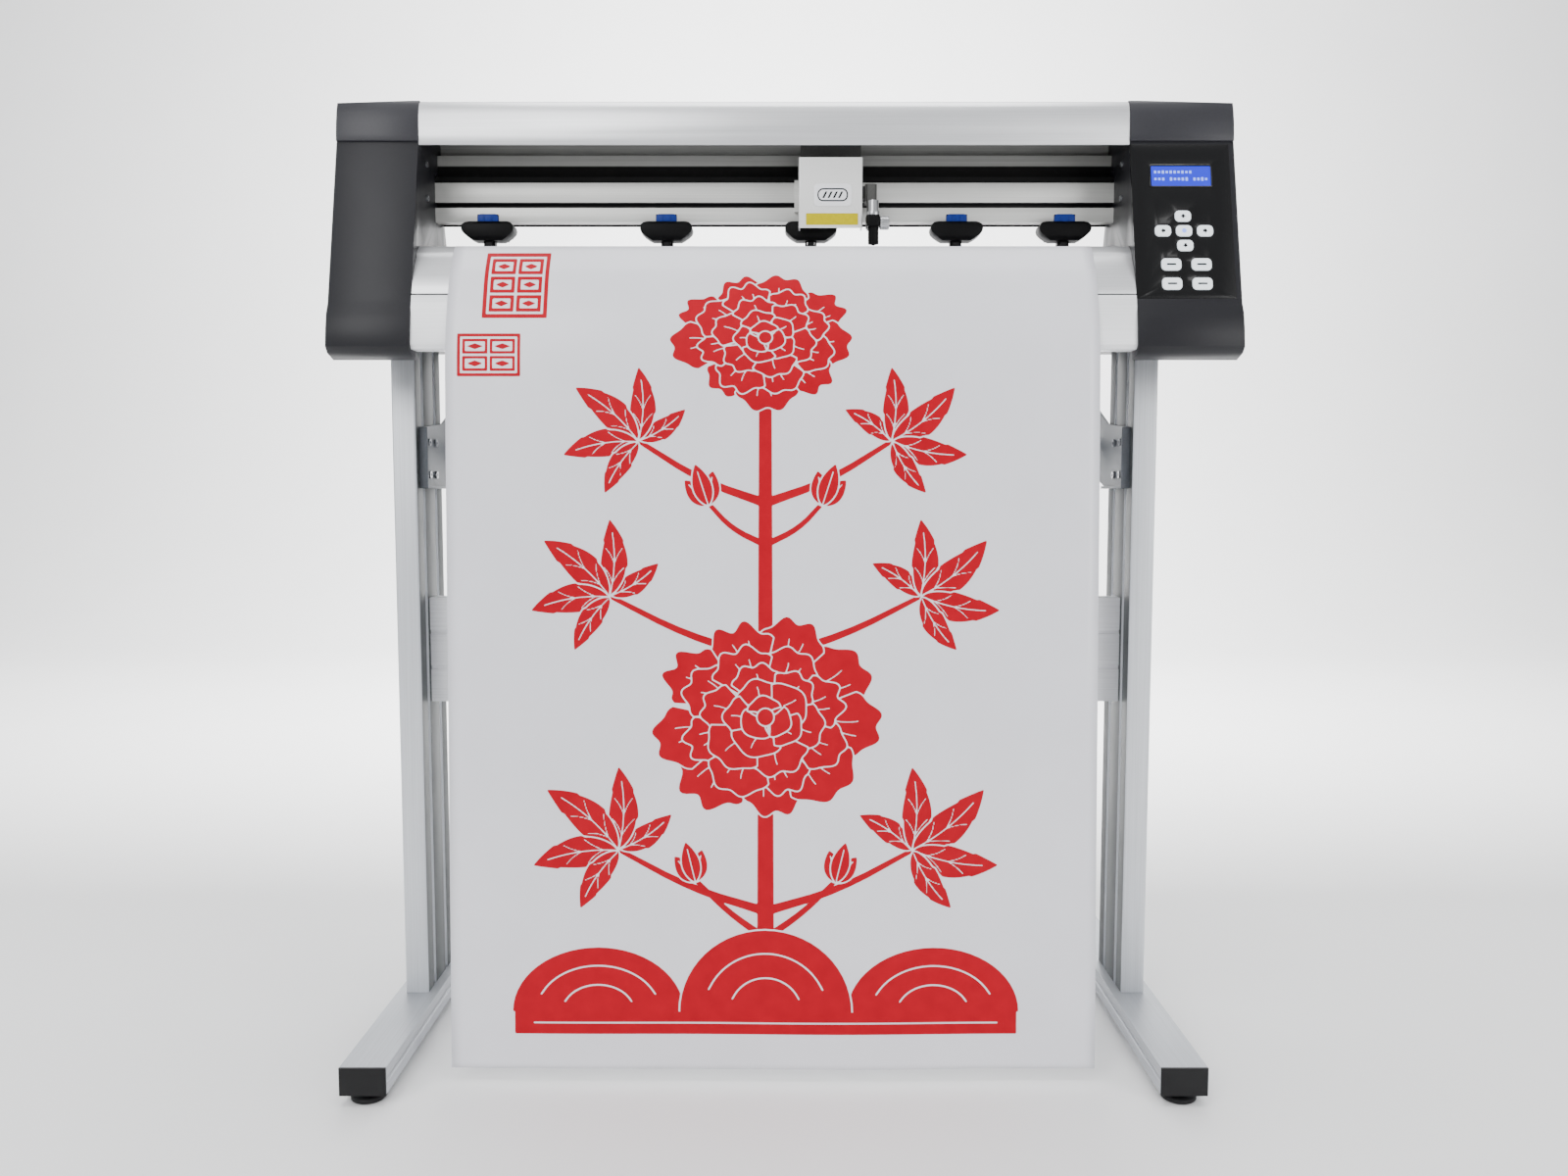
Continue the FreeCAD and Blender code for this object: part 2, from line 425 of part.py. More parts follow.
hold = fuse([cyl(5.35, (TOOL_X, TOOL_Y, 834.5), (TOOL_X, TOOL_Y, 862.2)), cyl(6.4, (TOOL_X, TOOL_Y, 862.0), (TOOL_X, TOOL_Y, 866.5)),
             cyl(5.2, (TOOL_X, TOOL_Y, 866.5), (TOOL_X, TOOL_Y, 877.5)),
             Part.makeCone(1.0, 3.4, 1.6, V(TOOL_X, TOOL_Y, 833.0), V(0, 0, 1))])
save("blade_holder", hold)

clampb = rbox(82.3, 95.9, -86.0, -67.5, 851.0, 862.0, 3.0)
clampb = fuse([clampb, box(84.05, 91.95, -67.6, -61.0, 851.0, 897.0), box(84.05, 91.95, -70.0, -67.0, 851.0, 862.0)])
clampb = clampb.cut(cyl(5.35 + FIT, (TOOL_X, TOOL_Y, 840), (TOOL_X, TOOL_Y, 870)))
clampb = clampb.cut(cyl(2.0 + FIT, (TOOL_X + 4, TOOL_Y, 855.5), (TOOL_X + 20, TOOL_Y, 855.5)))
save("tool_clamp", clampb)

knob = cyl(6.75, (96.2, TOOL_Y, 855.5), (105.5, TOOL_Y, 855.5))
knob = knob.makeChamfer(0.6, [e for e in knob.Edges if e.Length > 40 and len(e.Vertexes) == 1])
for i in range(16):
    a = math.radians(22.5 * i)
    knob = knob.cut(cyl(0.7, (97.4, TOOL_Y + 6.9 * math.cos(a), 855.5 + 6.9 * math.sin(a)), (104.3, TOOL_Y + 6.9 * math.cos(a), 855.5 + 6.9 * math.sin(a))))
knob = fuse([knob, cyl(2.0, (95.5, TOOL_Y, 855.5), (97.0, TOOL_Y, 855.5)), cyl(2.0, (TOOL_X + 5.6, TOOL_Y, 855.5), (96.5, TOOL_Y, 855.5))])
save("clamp_knob", knob)

# ---------------------------------------------------------------- pinch roller stations
PIV_Y, PIV_Z = -16.0, 856.0
for i, x in enumerate(PINCH_X, 1):
    br = fuse([box(x - 12.8, x + 12.8, -30.0, -9.0, 850.0, 864.8), box(x - 12.0, x + 12.0, -27.95, -24.05, 864.0, 870.5),
               box(x - 12.0, x + 12.0, -29.4, -22.6, 869.4, 872.5)])
    br = br.cut(cyl(2.0 + FIT, (x - 30, PIV_Y, PIV_Z), (x + 30, PIV_Y, PIV_Z)))
    save("pinch_bracket_%d" % i, br)
    half = [(19.5, 862.6), (23.4, 861.6), (26.2, 858.6), (27.0, 855.2), (26.0, 851.8), (23.0, 848.8), (18.8, 845.8), (14.5, 843.6)]
    pts = [V(x - a, -35.5, z) for a, z in half] + [V(x + a, -35.5, z) for a, z in reversed(half)]
    body = Part.Face(Part.makePolygon(pts + [pts[0]])).extrude(V(0, -20.5, 0))
    body = body.cut(prism([(-57.0, 858.6), (-52.6, 863.0), (-57.0, 863.0)], x - 28, x + 28))
    body = body.cut(prism([(-57.0, 848.2), (-51.5, 842.7), (-57.0, 842.7)], x - 28, x + 28))
    arm = [body, box(x - 10.75, x + 10.75, -52.0, -48.0, 857.0, 869.8)]
    for s in (-1, 1):
        a0, a1 = sorted((x + s * 13.2, x + s * 17.6))
        arm.append(prism([(-40.0, 850.5), (-16.0, 851.8), (-16.0, 860.2), (-40.0, 860.2)], a0, a1))
        arm.append(cyl(4.2, (a0, PIV_Y, PIV_Z), (a1, PIV_Y, PIV_Z)))
        p0, p1 = sorted((x + s * 7.0, x + s * 14.0))
        arm.append(cyl(2.0, (p0, PIV_Y, PIV_Z), (p1, PIV_Y, PIV_Z)))
        e0, e1 = sorted((x + s * 3.9, x + s * 5.9))
        arm.append(prism([(-46.0, 846.0), (-46.0, 837.0), (-44.0, 835.0), (-40.0, 835.0), (-38.0, 837.0), (-38.0, 846.0)], e0, e1))
    arm = fuse(arm)
    arm = arm.cut(cyl(8.8, (x - 3.9, -42.0, WHEEL_Z), (x + 3.9, -42.0, WHEEL_Z)))
    arm = arm.cut(cyl(1.5 + FIT, (x - 7.0, -42.0, WHEEL_Z), (x + 7.0, -42.0, WHEEL_Z)))
    save("pinch_arm_%d" % i, arm)
    wh = cyl(WHEEL_R, (x - 3.5, -42.0, WHEEL_Z), (x + 3.5, -42.0, WHEEL_Z))
    wh = wh.makeChamfer(0.5, [e for e in wh.Edges if e.Length > 40 and len(e.Vertexes) == 1])
    wh = fuse([wh, cyl(1.5, (x - 5.8, -42.0, WHEEL_Z), (x + 5.8, -42.0, WHEEL_Z))])
    save("pinch_wheel_%d" % i, wh)

# ---------------------------------------------------------------- screws
scr = []


def screw(p, d, r=3.2, h=2.0):
    q = (p[0] + d[0] * h, p[1] + d[1] * h, p[2] + d[2] * h)
    s = cyl(r, p, q)
    a = V(*q)
    s = s.cut(Part.makeCylinder(r * 0.45, 1.2, a - V(*d) * 1.2, V(*d)))
    scr.append(s)


for xa, s in ((IN_L + 3, 1), (IN_R - 3, -1)):
    for y in (-12, 12):
        for z in (602, 637):
            screw((xa, y, z), (s, 0, 0), 4.0, 2.4)
for x, s in ((FX[0] - POST_W / 2, -1), (FX[1] + POST_W / 2, 1)):
    for z in (372, 449):
        screw((x, 0, z), (s, 0, 0), 5.0, 2.8)
for z in (884, 918):
    screw((XL, -60, z), (1, 0, 0), 2.8, 1.6)
    screw((XR, -60, z), (-1, 0, 0), 2.8, 1.6)
for x in (-300, -155, -11, 133, 278):
    screw((x, 81.0, 764), (0, 1, 0), 2.6, 1.4)
save("fasteners", Part.makeCompound(scr))
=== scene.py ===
import math
import random
import bmesh
import bpy
import numpy as np
from mathutils import Matrix, Vector
from mathutils.geometry import tessellate_polygon


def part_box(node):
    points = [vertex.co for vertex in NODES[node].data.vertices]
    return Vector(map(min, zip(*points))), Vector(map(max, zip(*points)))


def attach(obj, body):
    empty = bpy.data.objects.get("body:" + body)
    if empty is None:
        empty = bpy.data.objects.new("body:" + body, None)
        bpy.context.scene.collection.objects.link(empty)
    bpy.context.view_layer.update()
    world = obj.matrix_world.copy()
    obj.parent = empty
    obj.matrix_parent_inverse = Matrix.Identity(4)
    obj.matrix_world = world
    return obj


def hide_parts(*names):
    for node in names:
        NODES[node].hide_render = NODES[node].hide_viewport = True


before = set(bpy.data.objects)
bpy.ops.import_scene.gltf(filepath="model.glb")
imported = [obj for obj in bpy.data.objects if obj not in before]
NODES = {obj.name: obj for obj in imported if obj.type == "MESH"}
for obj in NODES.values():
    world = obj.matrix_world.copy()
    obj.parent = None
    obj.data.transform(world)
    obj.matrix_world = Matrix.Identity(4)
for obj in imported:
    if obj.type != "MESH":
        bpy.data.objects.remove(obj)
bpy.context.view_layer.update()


MM = 0.001
rng = random.Random(7)

# ------------------------------------------------------------------ materials


def srgb(h):
    c = [int(h[i:i + 2], 16) / 255 for i in (0, 2, 4)]
    return [x / 12.92 if x <= 0.04045 else ((x + 0.055) / 1.055) ** 2.4 for x in c]


def material(name, color, rough, metallic=0.0, grain=(300, 300, 300), var=0.08, rvar=0.08, bump=0.15, bump_mm=0.05,
             coat=0.0, coat_rough=0.08, emission=None, emission_strength=0.0, specular=0.5, fine=1500.0, dirt=0.0, wear=0.0,
             transmission=0.0, aniso=0.0, sub=0.0):
    m = bpy.data.materials.new(name)
    m.use_nodes = True
    nt = m.node_tree
    b = nt.nodes["Principled BSDF"]
    b.inputs["Metallic"].default_value = metallic
    b.inputs["Specular IOR Level"].default_value = specular
    b.inputs["Coat Weight"].default_value = coat
    b.inputs["Coat Roughness"].default_value = coat_rough
    b.inputs["Transmission Weight"].default_value = transmission
    b.inputs["Subsurface Weight"].default_value = sub
    if emission is not None:
        b.inputs["Emission Color"].default_value = (*emission, 1)
        b.inputs["Emission Strength"].default_value = emission_strength
    tc = nt.nodes.new("ShaderNodeTexCoord")
    mp = nt.nodes.new("ShaderNodeMapping")
    mp.inputs["Scale"].default_value = grain
    nt.links.new(tc.outputs["Object"], mp.inputs["Vector"])
    n1 = nt.nodes.new("ShaderNodeTexNoise")
    n1.inputs["Scale"].default_value = 1.0
    n1.inputs["Detail"].default_value = 4.0
    nt.links.new(mp.outputs["Vector"], n1.inputs["Vector"])
    big = nt.nodes.new("ShaderNodeTexNoise")
    big.inputs["Scale"].default_value = 9.0
    big.inputs["Detail"].default_value = 3.0
    nt.links.new(tc.outputs["Object"], big.inputs["Vector"])
    ramp = nt.nodes.new("ShaderNodeValToRGB")
    lo = [max(0.0, c * (1 - var)) for c in color]
    hi = [min(1.0, c * (1 + var)) for c in color]
    ramp.color_ramp.elements[0].position = 0.3
    ramp.color_ramp.elements[1].position = 0.7
    ramp.color_ramp.elements[0].color = (*lo, 1)
    ramp.color_ramp.elements[1].color = (*hi, 1)
    nt.links.new(n1.outputs["Fac"], ramp.inputs["Fac"])
    col = ramp.outputs["Color"]
    if dirt > 0:
        mix = nt.nodes.new("ShaderNodeMix")
        mix.data_type = "RGBA"
        mr = nt.nodes.new("ShaderNodeMapRange")
        mr.inputs["From Min"].default_value = 0.5
        mr.inputs["From Max"].default_value = 0.85
        mr.inputs["To Max"].default_value = dirt
        nt.links.new(big.outputs["Fac"], mr.inputs["Value"])
        nt.links.new(mr.outputs["Result"], mix.inputs["Factor"])
        nt.links.new(col, mix.inputs["A"])
        mix.inputs["B"].default_value = (*[c * 0.55 for c in color], 1)
        col = mix.outputs["Result"]
    nt.links.new(col, b.inputs["Base Color"])
    rr = nt.nodes.new("ShaderNodeMapRange")
    rr.inputs["To Min"].default_value = max(0.02, rough - rvar)
    rr.inputs["To Max"].default_value = min(1.0, rough + rvar)
    nt.links.new(big.outputs["Fac"], rr.inputs["Value"])
    nt.links.new(rr.outputs["Result"], b.inputs["Roughness"])
    if bump > 0:
        n2 = nt.nodes.new("ShaderNodeTexNoise")
        n2.inputs["Detail"].default_value = 2.0
        if grain[0] != grain[1] or grain[1] != grain[2]:
            n2.inputs["Scale"].default_value = 1.3
            nt.links.new(mp.outputs["Vector"], n2.inputs["Vector"])
        else:
            n2.inputs["Scale"].default_value = fine
            nt.links.new(tc.outputs["Object"], n2.inputs["Vector"])
        bp = nt.nodes.new("ShaderNodeBump")
        bp.inputs["Strength"].default_value = bump
        bp.inputs["Distance"].default_value = bump_mm * MM
        nt.links.new(n2.outputs["Fac"], bp.inputs["Height"])
        nt.links.new(bp.outputs["Normal"], b.inputs["Normal"])
    return m


M = {
    "cover": material("cover_plastic", srgb("1b1b1f"), 0.42, specular=0.28, grain=(500, 500, 500), var=0.05, bump=0.25, bump_mm=0.04, fine=2200),
    "silver": material("satin_aluminium", srgb("dddee0"), 0.36, metallic=0.6, grain=(6, 900, 900), var=0.05, bump=0.10, bump_mm=0.02),
    "beam": material("beam_aluminium", srgb("d2d2ce"), 0.40, metallic=0.35, grain=(5, 1100, 1100), var=0.07, bump=0.12, bump_mm=0.02),
    "apron": material("apron_paint", srgb("eeeff1"), 0.38, metallic=0.15, grain=(8, 700, 700), var=0.04, bump=0.08, bump_mm=0.02),
    "stand": material("stand_aluminium", srgb("d3d6da"), 0.42, metallic=0.45, grain=(900, 900, 6), var=0.07, bump=0.14, bump_mm=0.02, dirt=0.12),
    # darker copy of the stand aluminium for the posts' inner sides: painted shade
    "post_inner_shade": material("stand_side_painted_shade", srgb("505353"), 0.5, metallic=0.0, specular=0.2, grain=(900, 900, 6), var=0.09, bump=0.14, bump_mm=0.02, dirt=0.15),
    "bar": material("crossbar_aluminium", srgb("f4f5f7"), 0.45, metallic=0.0, grain=(6, 900, 900), var=0.07, bump=0.14, bump_mm=0.02, dirt=0.10),
    "foot": material("foot_aluminium", srgb("aeb1b6"), 0.40, metallic=0.55, grain=(900, 6, 900), var=0.07, bump=0.14, bump_mm=0.02, dirt=0.15),
    "black": material("black_plastic", srgb("0a0a0c"), 0.42, specular=0.3, grain=(600, 600, 600), var=0.15, bump=0.3, bump_mm=0.04, fine=1800),
    "dark": material("dark_powder_coat", srgb("0b0b0c"), 0.55, specular=0.2, grain=(700, 700, 700), var=0.12, bump=0.4, bump_mm=0.05, fine=1400),
    "bracket": material("bracket_powder_coat", srgb("54585d"), 0.5, metallic=0.0, specular=0.25, grain=(700, 700, 700), var=0.10, bump=0.4, bump_mm=0.05, fine=1400),
    "back": material("back_cover_paint", srgb("1a1a1b"), 0.55, specular=0.25, grain=(700, 700, 700), var=0.10, bump=0.35, bump_mm=0.05, fine=1500),
    "steel": material("turned_steel", srgb("b8b9bb"), 0.28, metallic=0.95, grain=(900, 40, 40), var=0.08, bump=0.2, bump_mm=0.03),
    "grit": material("grit_steel", srgb("8b8c8e"), 0.55, metallic=0.8, grain=(1200, 1200, 1200), var=0.35, bump=0.9, bump_mm=0.2, fine=2600),
    "panel": material("panel_gloss", srgb("050506"), 0.22, specular=0.3, grain=(200, 200, 200), var=0.2, rvar=0.04, bump=0.03, bump_mm=0.02, coat=0.2, fine=400),
    "lcd": material("lcd_blue", srgb("0c1a80"), 0.12, grain=(2500, 2500, 2500), var=0.12, bump=0.05, bump_mm=0.01, coat=0.15, specular=0.25,
                    emission=(0.03, 0.040, 1.0), emission_strength=1.0),
    "lcd_cell": material("lcd_cell", srgb("7f98ff"), 0.3, grain=(900, 900, 900), var=0.1, bump=0.0, emission=srgb("8ea6ff"), emission_strength=0.9),
    "key": material("key_translucent", srgb("e6edf0"), 0.3, grain=(400, 400, 400), var=0.04, bump=0.1, bump_mm=0.02, coat=0.3,
                    emission=srgb("eef6ff"), emission_strength=0.55),
    "glyph": material("key_print", srgb("101216"), 0.55, specular=0.15, grain=(900, 900, 900), var=0.1, bump=0.1, bump_mm=0.01),
    "film": material("vinyl_film", srgb("e4e4ea"), 0.36, grain=(14, 14, 14), var=0.02, rvar=0.07, bump=0.12, bump_mm=0.6, coat=0.15, fine=14),
    "red": material("red_vinyl", (0.42, 0.0, 0.012), 0.42, specular=0.12, grain=(60, 60, 60), var=0.07, rvar=0.06, bump=0.10, bump_mm=0.3, fine=30),
    "board": material("solder_mask", srgb("12562f"), 0.4, grain=(400, 400, 400), var=0.2, bump=0.3, bump_mm=0.05, fine=900),
    "motor": material("motor_paint", srgb("16171a"), 0.4, metallic=0.2, specular=0.3, grain=(500, 500, 500), var=0.1, bump=0.2, bump_mm=0.05),
    "rubber": material("belt_rubber", srgb("0d0d0d"), 0.75, specular=0.2, grain=(800, 800, 800), var=0.2, bump=0.5, bump_mm=0.06, fine=1200),
    "wheel": material("roller_rubber", srgb("0f0f10"), 0.65, specular=0.25, grain=(1100, 200, 200), var=0.2, bump=0.5, bump_mm=0.06),
    "car": material("carriage_paint", srgb("e6e6e4"), 0.35, metallic=0.15, grain=(500, 500, 500), var=0.025, bump=0.12, bump_mm=0.03, fine=1500),
    "blue": material("tab_blue", srgb("0c2878"), 0.42, specular=0.2, grain=(500, 500, 500), var=0.12, bump=0.2, bump_mm=0.03, fine=1300),
    "yellow": material("yellow_strip", (0.50, 0.42, 0.0), 0.5, specular=0.05, grain=(300, 300, 300), var=0.06, bump=0.1, bump_mm=0.02),
    "plate": material("emblem_plate", srgb("f2f2f5"), 0.35, metallic=0.1, grain=(20, 1500, 1500), var=0.06, bump=0.15, bump_mm=0.02),
    "arm": material("arm_plastic", srgb("060607"), 0.5, specular=0.12, grain=(600, 600, 600), var=0.2, bump=0.3, bump_mm=0.04, fine=1800),
    # lighter copy of the cover plastic for the cover caps above the seam: painted highlight
    "cover_cap_highlight": material("cover_cap_painted_highlight", srgb("2b2b30"), 0.40, specular=0.35, grain=(500, 500, 500), var=0.05, bump=0.25, bump_mm=0.04, fine=2200),
    # mid-dark grey: the plain colour of the clamp top and the block's side plate, and painted shade on the block top
    # under the top cover
    "block_grey_and_shade": material("carriage_plate_grey_and_painted_shade", srgb("4a4a48"), 0.5, specular=0.3, grain=(500, 500, 500), var=0.08, bump=0.2, bump_mm=0.03, fine=1500),
    # inside of the back cover; below z 927 mm it turns near-black, painted shade in the gap above the beam
    "back_inner": material("back_cover_inside_painted_shade", srgb("8f8f8c"), 0.6, specular=0.1, grain=(3, 700, 700), var=0.12, bump=0.2, bump_mm=0.04, fine=1500),
    "zinc": material("screw_zinc", srgb("9c9ea2"), 0.32, metallic=0.9, grain=(900, 900, 900), var=0.1, bump=0.2, bump_mm=0.03),
    "cap": material("end_cap_plastic", srgb("0b0b0d"), 0.5, specular=0.3, grain=(600, 600, 600), var=0.12, bump=0.35, bump_mm=0.05, fine=1500),
}

NODE_MAT = {
    "foot_beams": "foot", "foot_end_caps": "cap", "posts": "stand", "crossbar": "bar", "roll_brackets": "bracket",
    "roll_rod_front": "steel", "roll_rod_rear": "steel", "levelling_foot_fl": "cap", "levelling_foot_fr": "cap",
    "levelling_foot_rl": "cap", "levelling_foot_rr": "cap", "left_side_cover": "cover", "right_side_cover": "cover",
    "top_cover": "silver", "base_chassis": "dark", "platen": "silver", "front_apron": "apron", "carriage_beam": "beam",
    "back_cover": "back", "control_panel": "panel", "display_window": "lcd", "vinyl_sheet": "film", "main_board": "board",
    "power_inlet": "black", "rocker_switch": "black", "stepper_motors": "motor", "drive_belt": "rubber", "grit_shaft": "grit",
    "belt_drive_pulley": "steel", "belt_idler_pulley": "steel", "carriage_block": "beam", "carriage_cover": "car",
    "blade_holder": "arm", "tool_clamp": "arm", "clamp_knob": "steel", "fasteners": "zinc"}
BEVEL = {"left_side_cover": 1.6, "right_side_cover": 0.8, "top_cover": 0.5, "platen": 0.4, "front_apron": 0.6, "carriage_beam": 0.4,
         "posts": 0.5, "foot_beams": 1.0, "crossbar": 0.8, "carriage_cover": 0.4, "roll_brackets": 0.5, "back_cover": 0.4,
         "carriage_block": 0.4, "tool_clamp": 0.4, "control_panel": 0.2, "power_inlet": 0.5, "rocker_switch": 0.5}


def set_mat(o, *mats):
    o.data.materials.clear()
    for m in mats:
        o.data.materials.append(m)
    for p in o.data.polygons:
        p.material_index = 0


def finish_edges(o, width_mm, angle=38):
    for p in o.data.polygons:
        p.use_smooth = True
    w = o.modifiers.new("weld", "WELD")
    w.merge_threshold = 0.000005
    if width_mm:
        b = o.modifiers.new("bevel", "BEVEL")
        b.width = width_mm * MM
        b.segments = 2
        b.limit_method = "ANGLE"
        b.angle_limit = math.radians(40)
        b.use_clamp_overlap = True
    s = o.modifiers.new("split", "EDGE_SPLIT")
    s.split_angle = math.radians(angle)
    s.use_edge_sharp = False


for name, o in NODES.items():
    if name.startswith("key_"):
        key = "key"
    elif name.startswith("pinch_bracket") or name.startswith("pinch_arm"):
        key = "arm"
    elif name.startswith("pinch_wheel"):
        key = "wheel"
    else:
        key = NODE_MAT[name]
    set_mat(o, M[key])
    a = o.data.attributes.get("custom_normal")
    if a is not None:
        o.data.attributes.remove(a)
    finish_edges(o, BEVEL.get(name, 0.25 if not name.startswith("fasten") else 0.0))

# blade holder: lower body black, knurled top silver; grit shaft: plain journals are bright
for name, other, test in (("blade_holder", M["steel"], lambda c: c.z > 0.8622),
                          ("grit_shaft", M["steel"], lambda c: math.hypot(c.y + 0.042, c.z - 0.8189) < 0.0095)):
    o = NODES[name]
    o.data.materials.append(other)
    for p in o.data.polygons:
        if test(p.center):
            p.material_index = 1

def paint_shade_below(m, z_mm, width_mm, below):
    """Paints shade into a material below a height given in its own object coordinates."""
    nt = m.node_tree
    bsdf = nt.nodes["Principled BSDF"]
    src = bsdf.inputs["Base Color"].links[0].from_socket
    tc = nt.nodes.new("ShaderNodeTexCoord")
    sep = nt.nodes.new("ShaderNodeSeparateXYZ")
    nt.links.new(tc.outputs["Object"], sep.inputs["Vector"])
    mr = nt.nodes.new("ShaderNodeMapRange")
    mr.inputs["From Min"].default_value = (z_mm - width_mm / 2) * MM
    mr.inputs["From Max"].default_value = (z_mm + width_mm / 2) * MM
    nt.links.new(sep.outputs["Z"], mr.inputs["Value"])
    mix = nt.nodes.new("ShaderNodeMix")
    mix.data_type = "RGBA"
    nt.links.new(mr.outputs["Result"], mix.inputs["Factor"])
    mix.inputs["A"].default_value = (*below, 1)
    nt.links.new(src, mix.inputs["B"])
    nt.links.new(mix.outputs["Result"], bsdf.inputs["Base Color"])


# painted shade: the back cover's inside goes near-black below z 927 mm, just above the beam
paint_shade_below(M["back_inner"], 927.0, 1.5, (0.003, 0.003, 0.003))

for name, other, test in (
        # inside face of the back cover; its lower band above the beam is painted shade
        ("back_cover", M["back_inner"], lambda p: p.normal.y < -0.5 and p.center.z > 0.86),
        # clamp top and the block's right side take this as their plain grey; the block above z 919.5 mm, under the top
        # cover, takes it as painted shade
        ("tool_clamp", M["block_grey_and_shade"], lambda p: p.center.z > 0.8625),
        ("carriage_block", M["block_grey_and_shade"], lambda p: p.center.z > 0.9195 or p.center.x > 0.0742),
        # cover caps above the seam take the lighter copy of the cover plastic: painted highlight
        ("left_side_cover", M["cover_cap_highlight"], lambda p: p.center.z > 0.9335 and p.center.x < -0.3685 and p.center.y < 0.02),
        ("right_side_cover", M["cover_cap_highlight"], lambda p: p.center.z > 0.9335 and p.center.x > 0.3465 and p.center.y < 0.02),
        # inner sides of the posts take the darker copy of the stand aluminium: painted shade
        ("posts", M["post_inner_shade"], lambda p: p.normal.x * (1 if p.center.x < 0 else -1) > 0.9 and abs(p.center.y) < 0.0468),
        ("carriage_beam", M["dark"], lambda p: -0.0308 < p.center.y < -0.0225 and 0.8814 < p.center.z < 0.8866 and not abs(p.normal.x) > 0.9),
        ("platen", M["dark"], lambda p: p.center.z < 0.8275 and p.center.y > -0.085)):
    o = NODES[name]
    o.data.materials.append(other)
    k = len(o.data.materials) - 1
    for p in o.data.polygons:
        if test(p):
            p.material_index = k

# ------------------------------------------------------------------ mesh helpers


def new_obj(name, verts, faces, mat, body, smooth=False):
    me = bpy.data.meshes.new(name)
    me.from_pydata(verts, [], faces)
    me.validate()
    me.update()
    o = bpy.data.objects.new(name, me)
    bpy.context.scene.collection.objects.link(o)
    me.materials.append(mat)
    for p in me.polygons:
        p.use_smooth = smooth
    bm = bmesh.new()
    bm.from_mesh(me)
    bmesh.ops.recalc_face_normals(bm, faces=bm.faces)
    bm.to_mesh(me)
    bm.free()
    if body:
        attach(o, body)
    return o


def rounded(w, h, r, n=5):
    pts = []
    for cx, cy, a0 in ((w / 2 - r, h / 2 - r, 0), (-w / 2 + r, h / 2 - r, 90), (-w / 2 + r, -h / 2 + r, 180), (w / 2 - r, -h / 2 + r, 270)):
        for i in range(n + 1):
            a = math.radians(a0 + 90 * i / n)
            pts.append((cx + r * math.cos(a), cy + r * math.sin(a)))
    return pts


def plate(name, outline, place, t0, t1, mat, body, bevel=0.0):
    """A flat plate: outline (mm) carried by place(a, b, c) -> point in metres, from depth t0 to t1."""
    n = len(outline)
    vs = [place(a, b, t0) for a, b in outline] + [place(a, b, t1) for a, b in outline]
    fs = [list(range(n)), list(range(n, 2 * n))] + [[i, (i + 1) % n, n + (i + 1) % n, n + i] for i in range(n)]
    o = new_obj(name, vs, fs, mat, body)
    if bevel:
        b = o.modifiers.new("bevel", "BEVEL")
        b.width = bevel * MM
        b.segments = 3
        b.limit_method = "ANGLE"
        b.angle_limit = math.radians(40)
        for p in o.data.polygons:
            p.use_smooth = True
        s = o.modifiers.new("split", "EDGE_SPLIT")
        s.split_angle = math.radians(35)
    return o


# ------------------------------------------------------------------ control face details
P1 = (-86.4, 932.9)
P2 = (-122.7, 768.0)
SL = math.hypot(P2[0] - P1[0], P2[1] - P1[1])
UP = ((P1[0] - P2[0]) / SL, (P1[1] - P2[1]) / SL)
NO = (-UP[1], UP[0])


def on_face(x0, u0):
    """Centre x0, u0 mm down the control face; a to the right, b up the slope, c outwards."""
    def f(a, b, c):
        v = -u0 + b
        return ((x0 + a) * MM, (P1[0] + v * UP[0] + c * NO[0]) * MM, (P1[1] + v * UP[1] + c * NO[1]) * MM)
    return f


ARROW = [(-2.7, -0.4), (-1.1, -0.4), (-1.1, -2.1), (1.1, -2.1), (1.1, -0.4), (2.7, -0.4), (0, 2.2)]


def turn(pts, deg):
    a = math.radians(deg)
    return [(x * math.cos(a) - y * math.sin(a), x * math.sin(a) + y * math.cos(a)) for x, y in pts]


for k, x, t, g in (("key_up", 395.5, 0.465, 0), ("key_left", 375.0, 0.556, 90), ("key_right", 416.8, 0.556, -90), ("key_down", 396.5, 0.647, 180)):
    plate("glyph_" + k, turn(ARROW, g), on_face(x, t * SL), 1.0, 1.08, M["glyph"], k + "_cap")
ring = rounded(4.6, 4.6, 2.29, 8)
plate("glyph_key_enter", ring, on_face(396.0, 0.556 * SL), 1.0, 1.07, M["lcd_cell"], "key_enter_cap")
for k, x, t in (("key_wide_1", 381.8, 0.763), ("key_wide_2", 411.7, 0.763), ("key_wide_3", 381.8, 0.881), ("key_wide_4", 411.7, 0.881)):
    plate("glyph_" + k, rounded(9.5, 1.7, 0.7, 3), on_face(x, t * SL), 1.0, 1.08, M["glyph"], k + "_cap")
f = on_face(395.5, 36.0)
for row in range(2):
    for c in range(14):
        if (row == 0 and c > 9) or (row == 1 and c in (3, 9)):
            continue
        cx = -25.5 + c * 3.9
        cy = 4.2 - row * 7.4
        h = 2.4 + 1.4 * rng.random()
        plate("lcd_cell_%d_%d" % (row, c), [(cx - 1.2, cy - h / 2), (cx + 1.2, cy - h / 2), (cx + 1.2, cy + h / 2), (cx - 1.2, cy + h / 2)],
              f, -0.1, -0.04, M["lcd_cell"], "machine_frame")
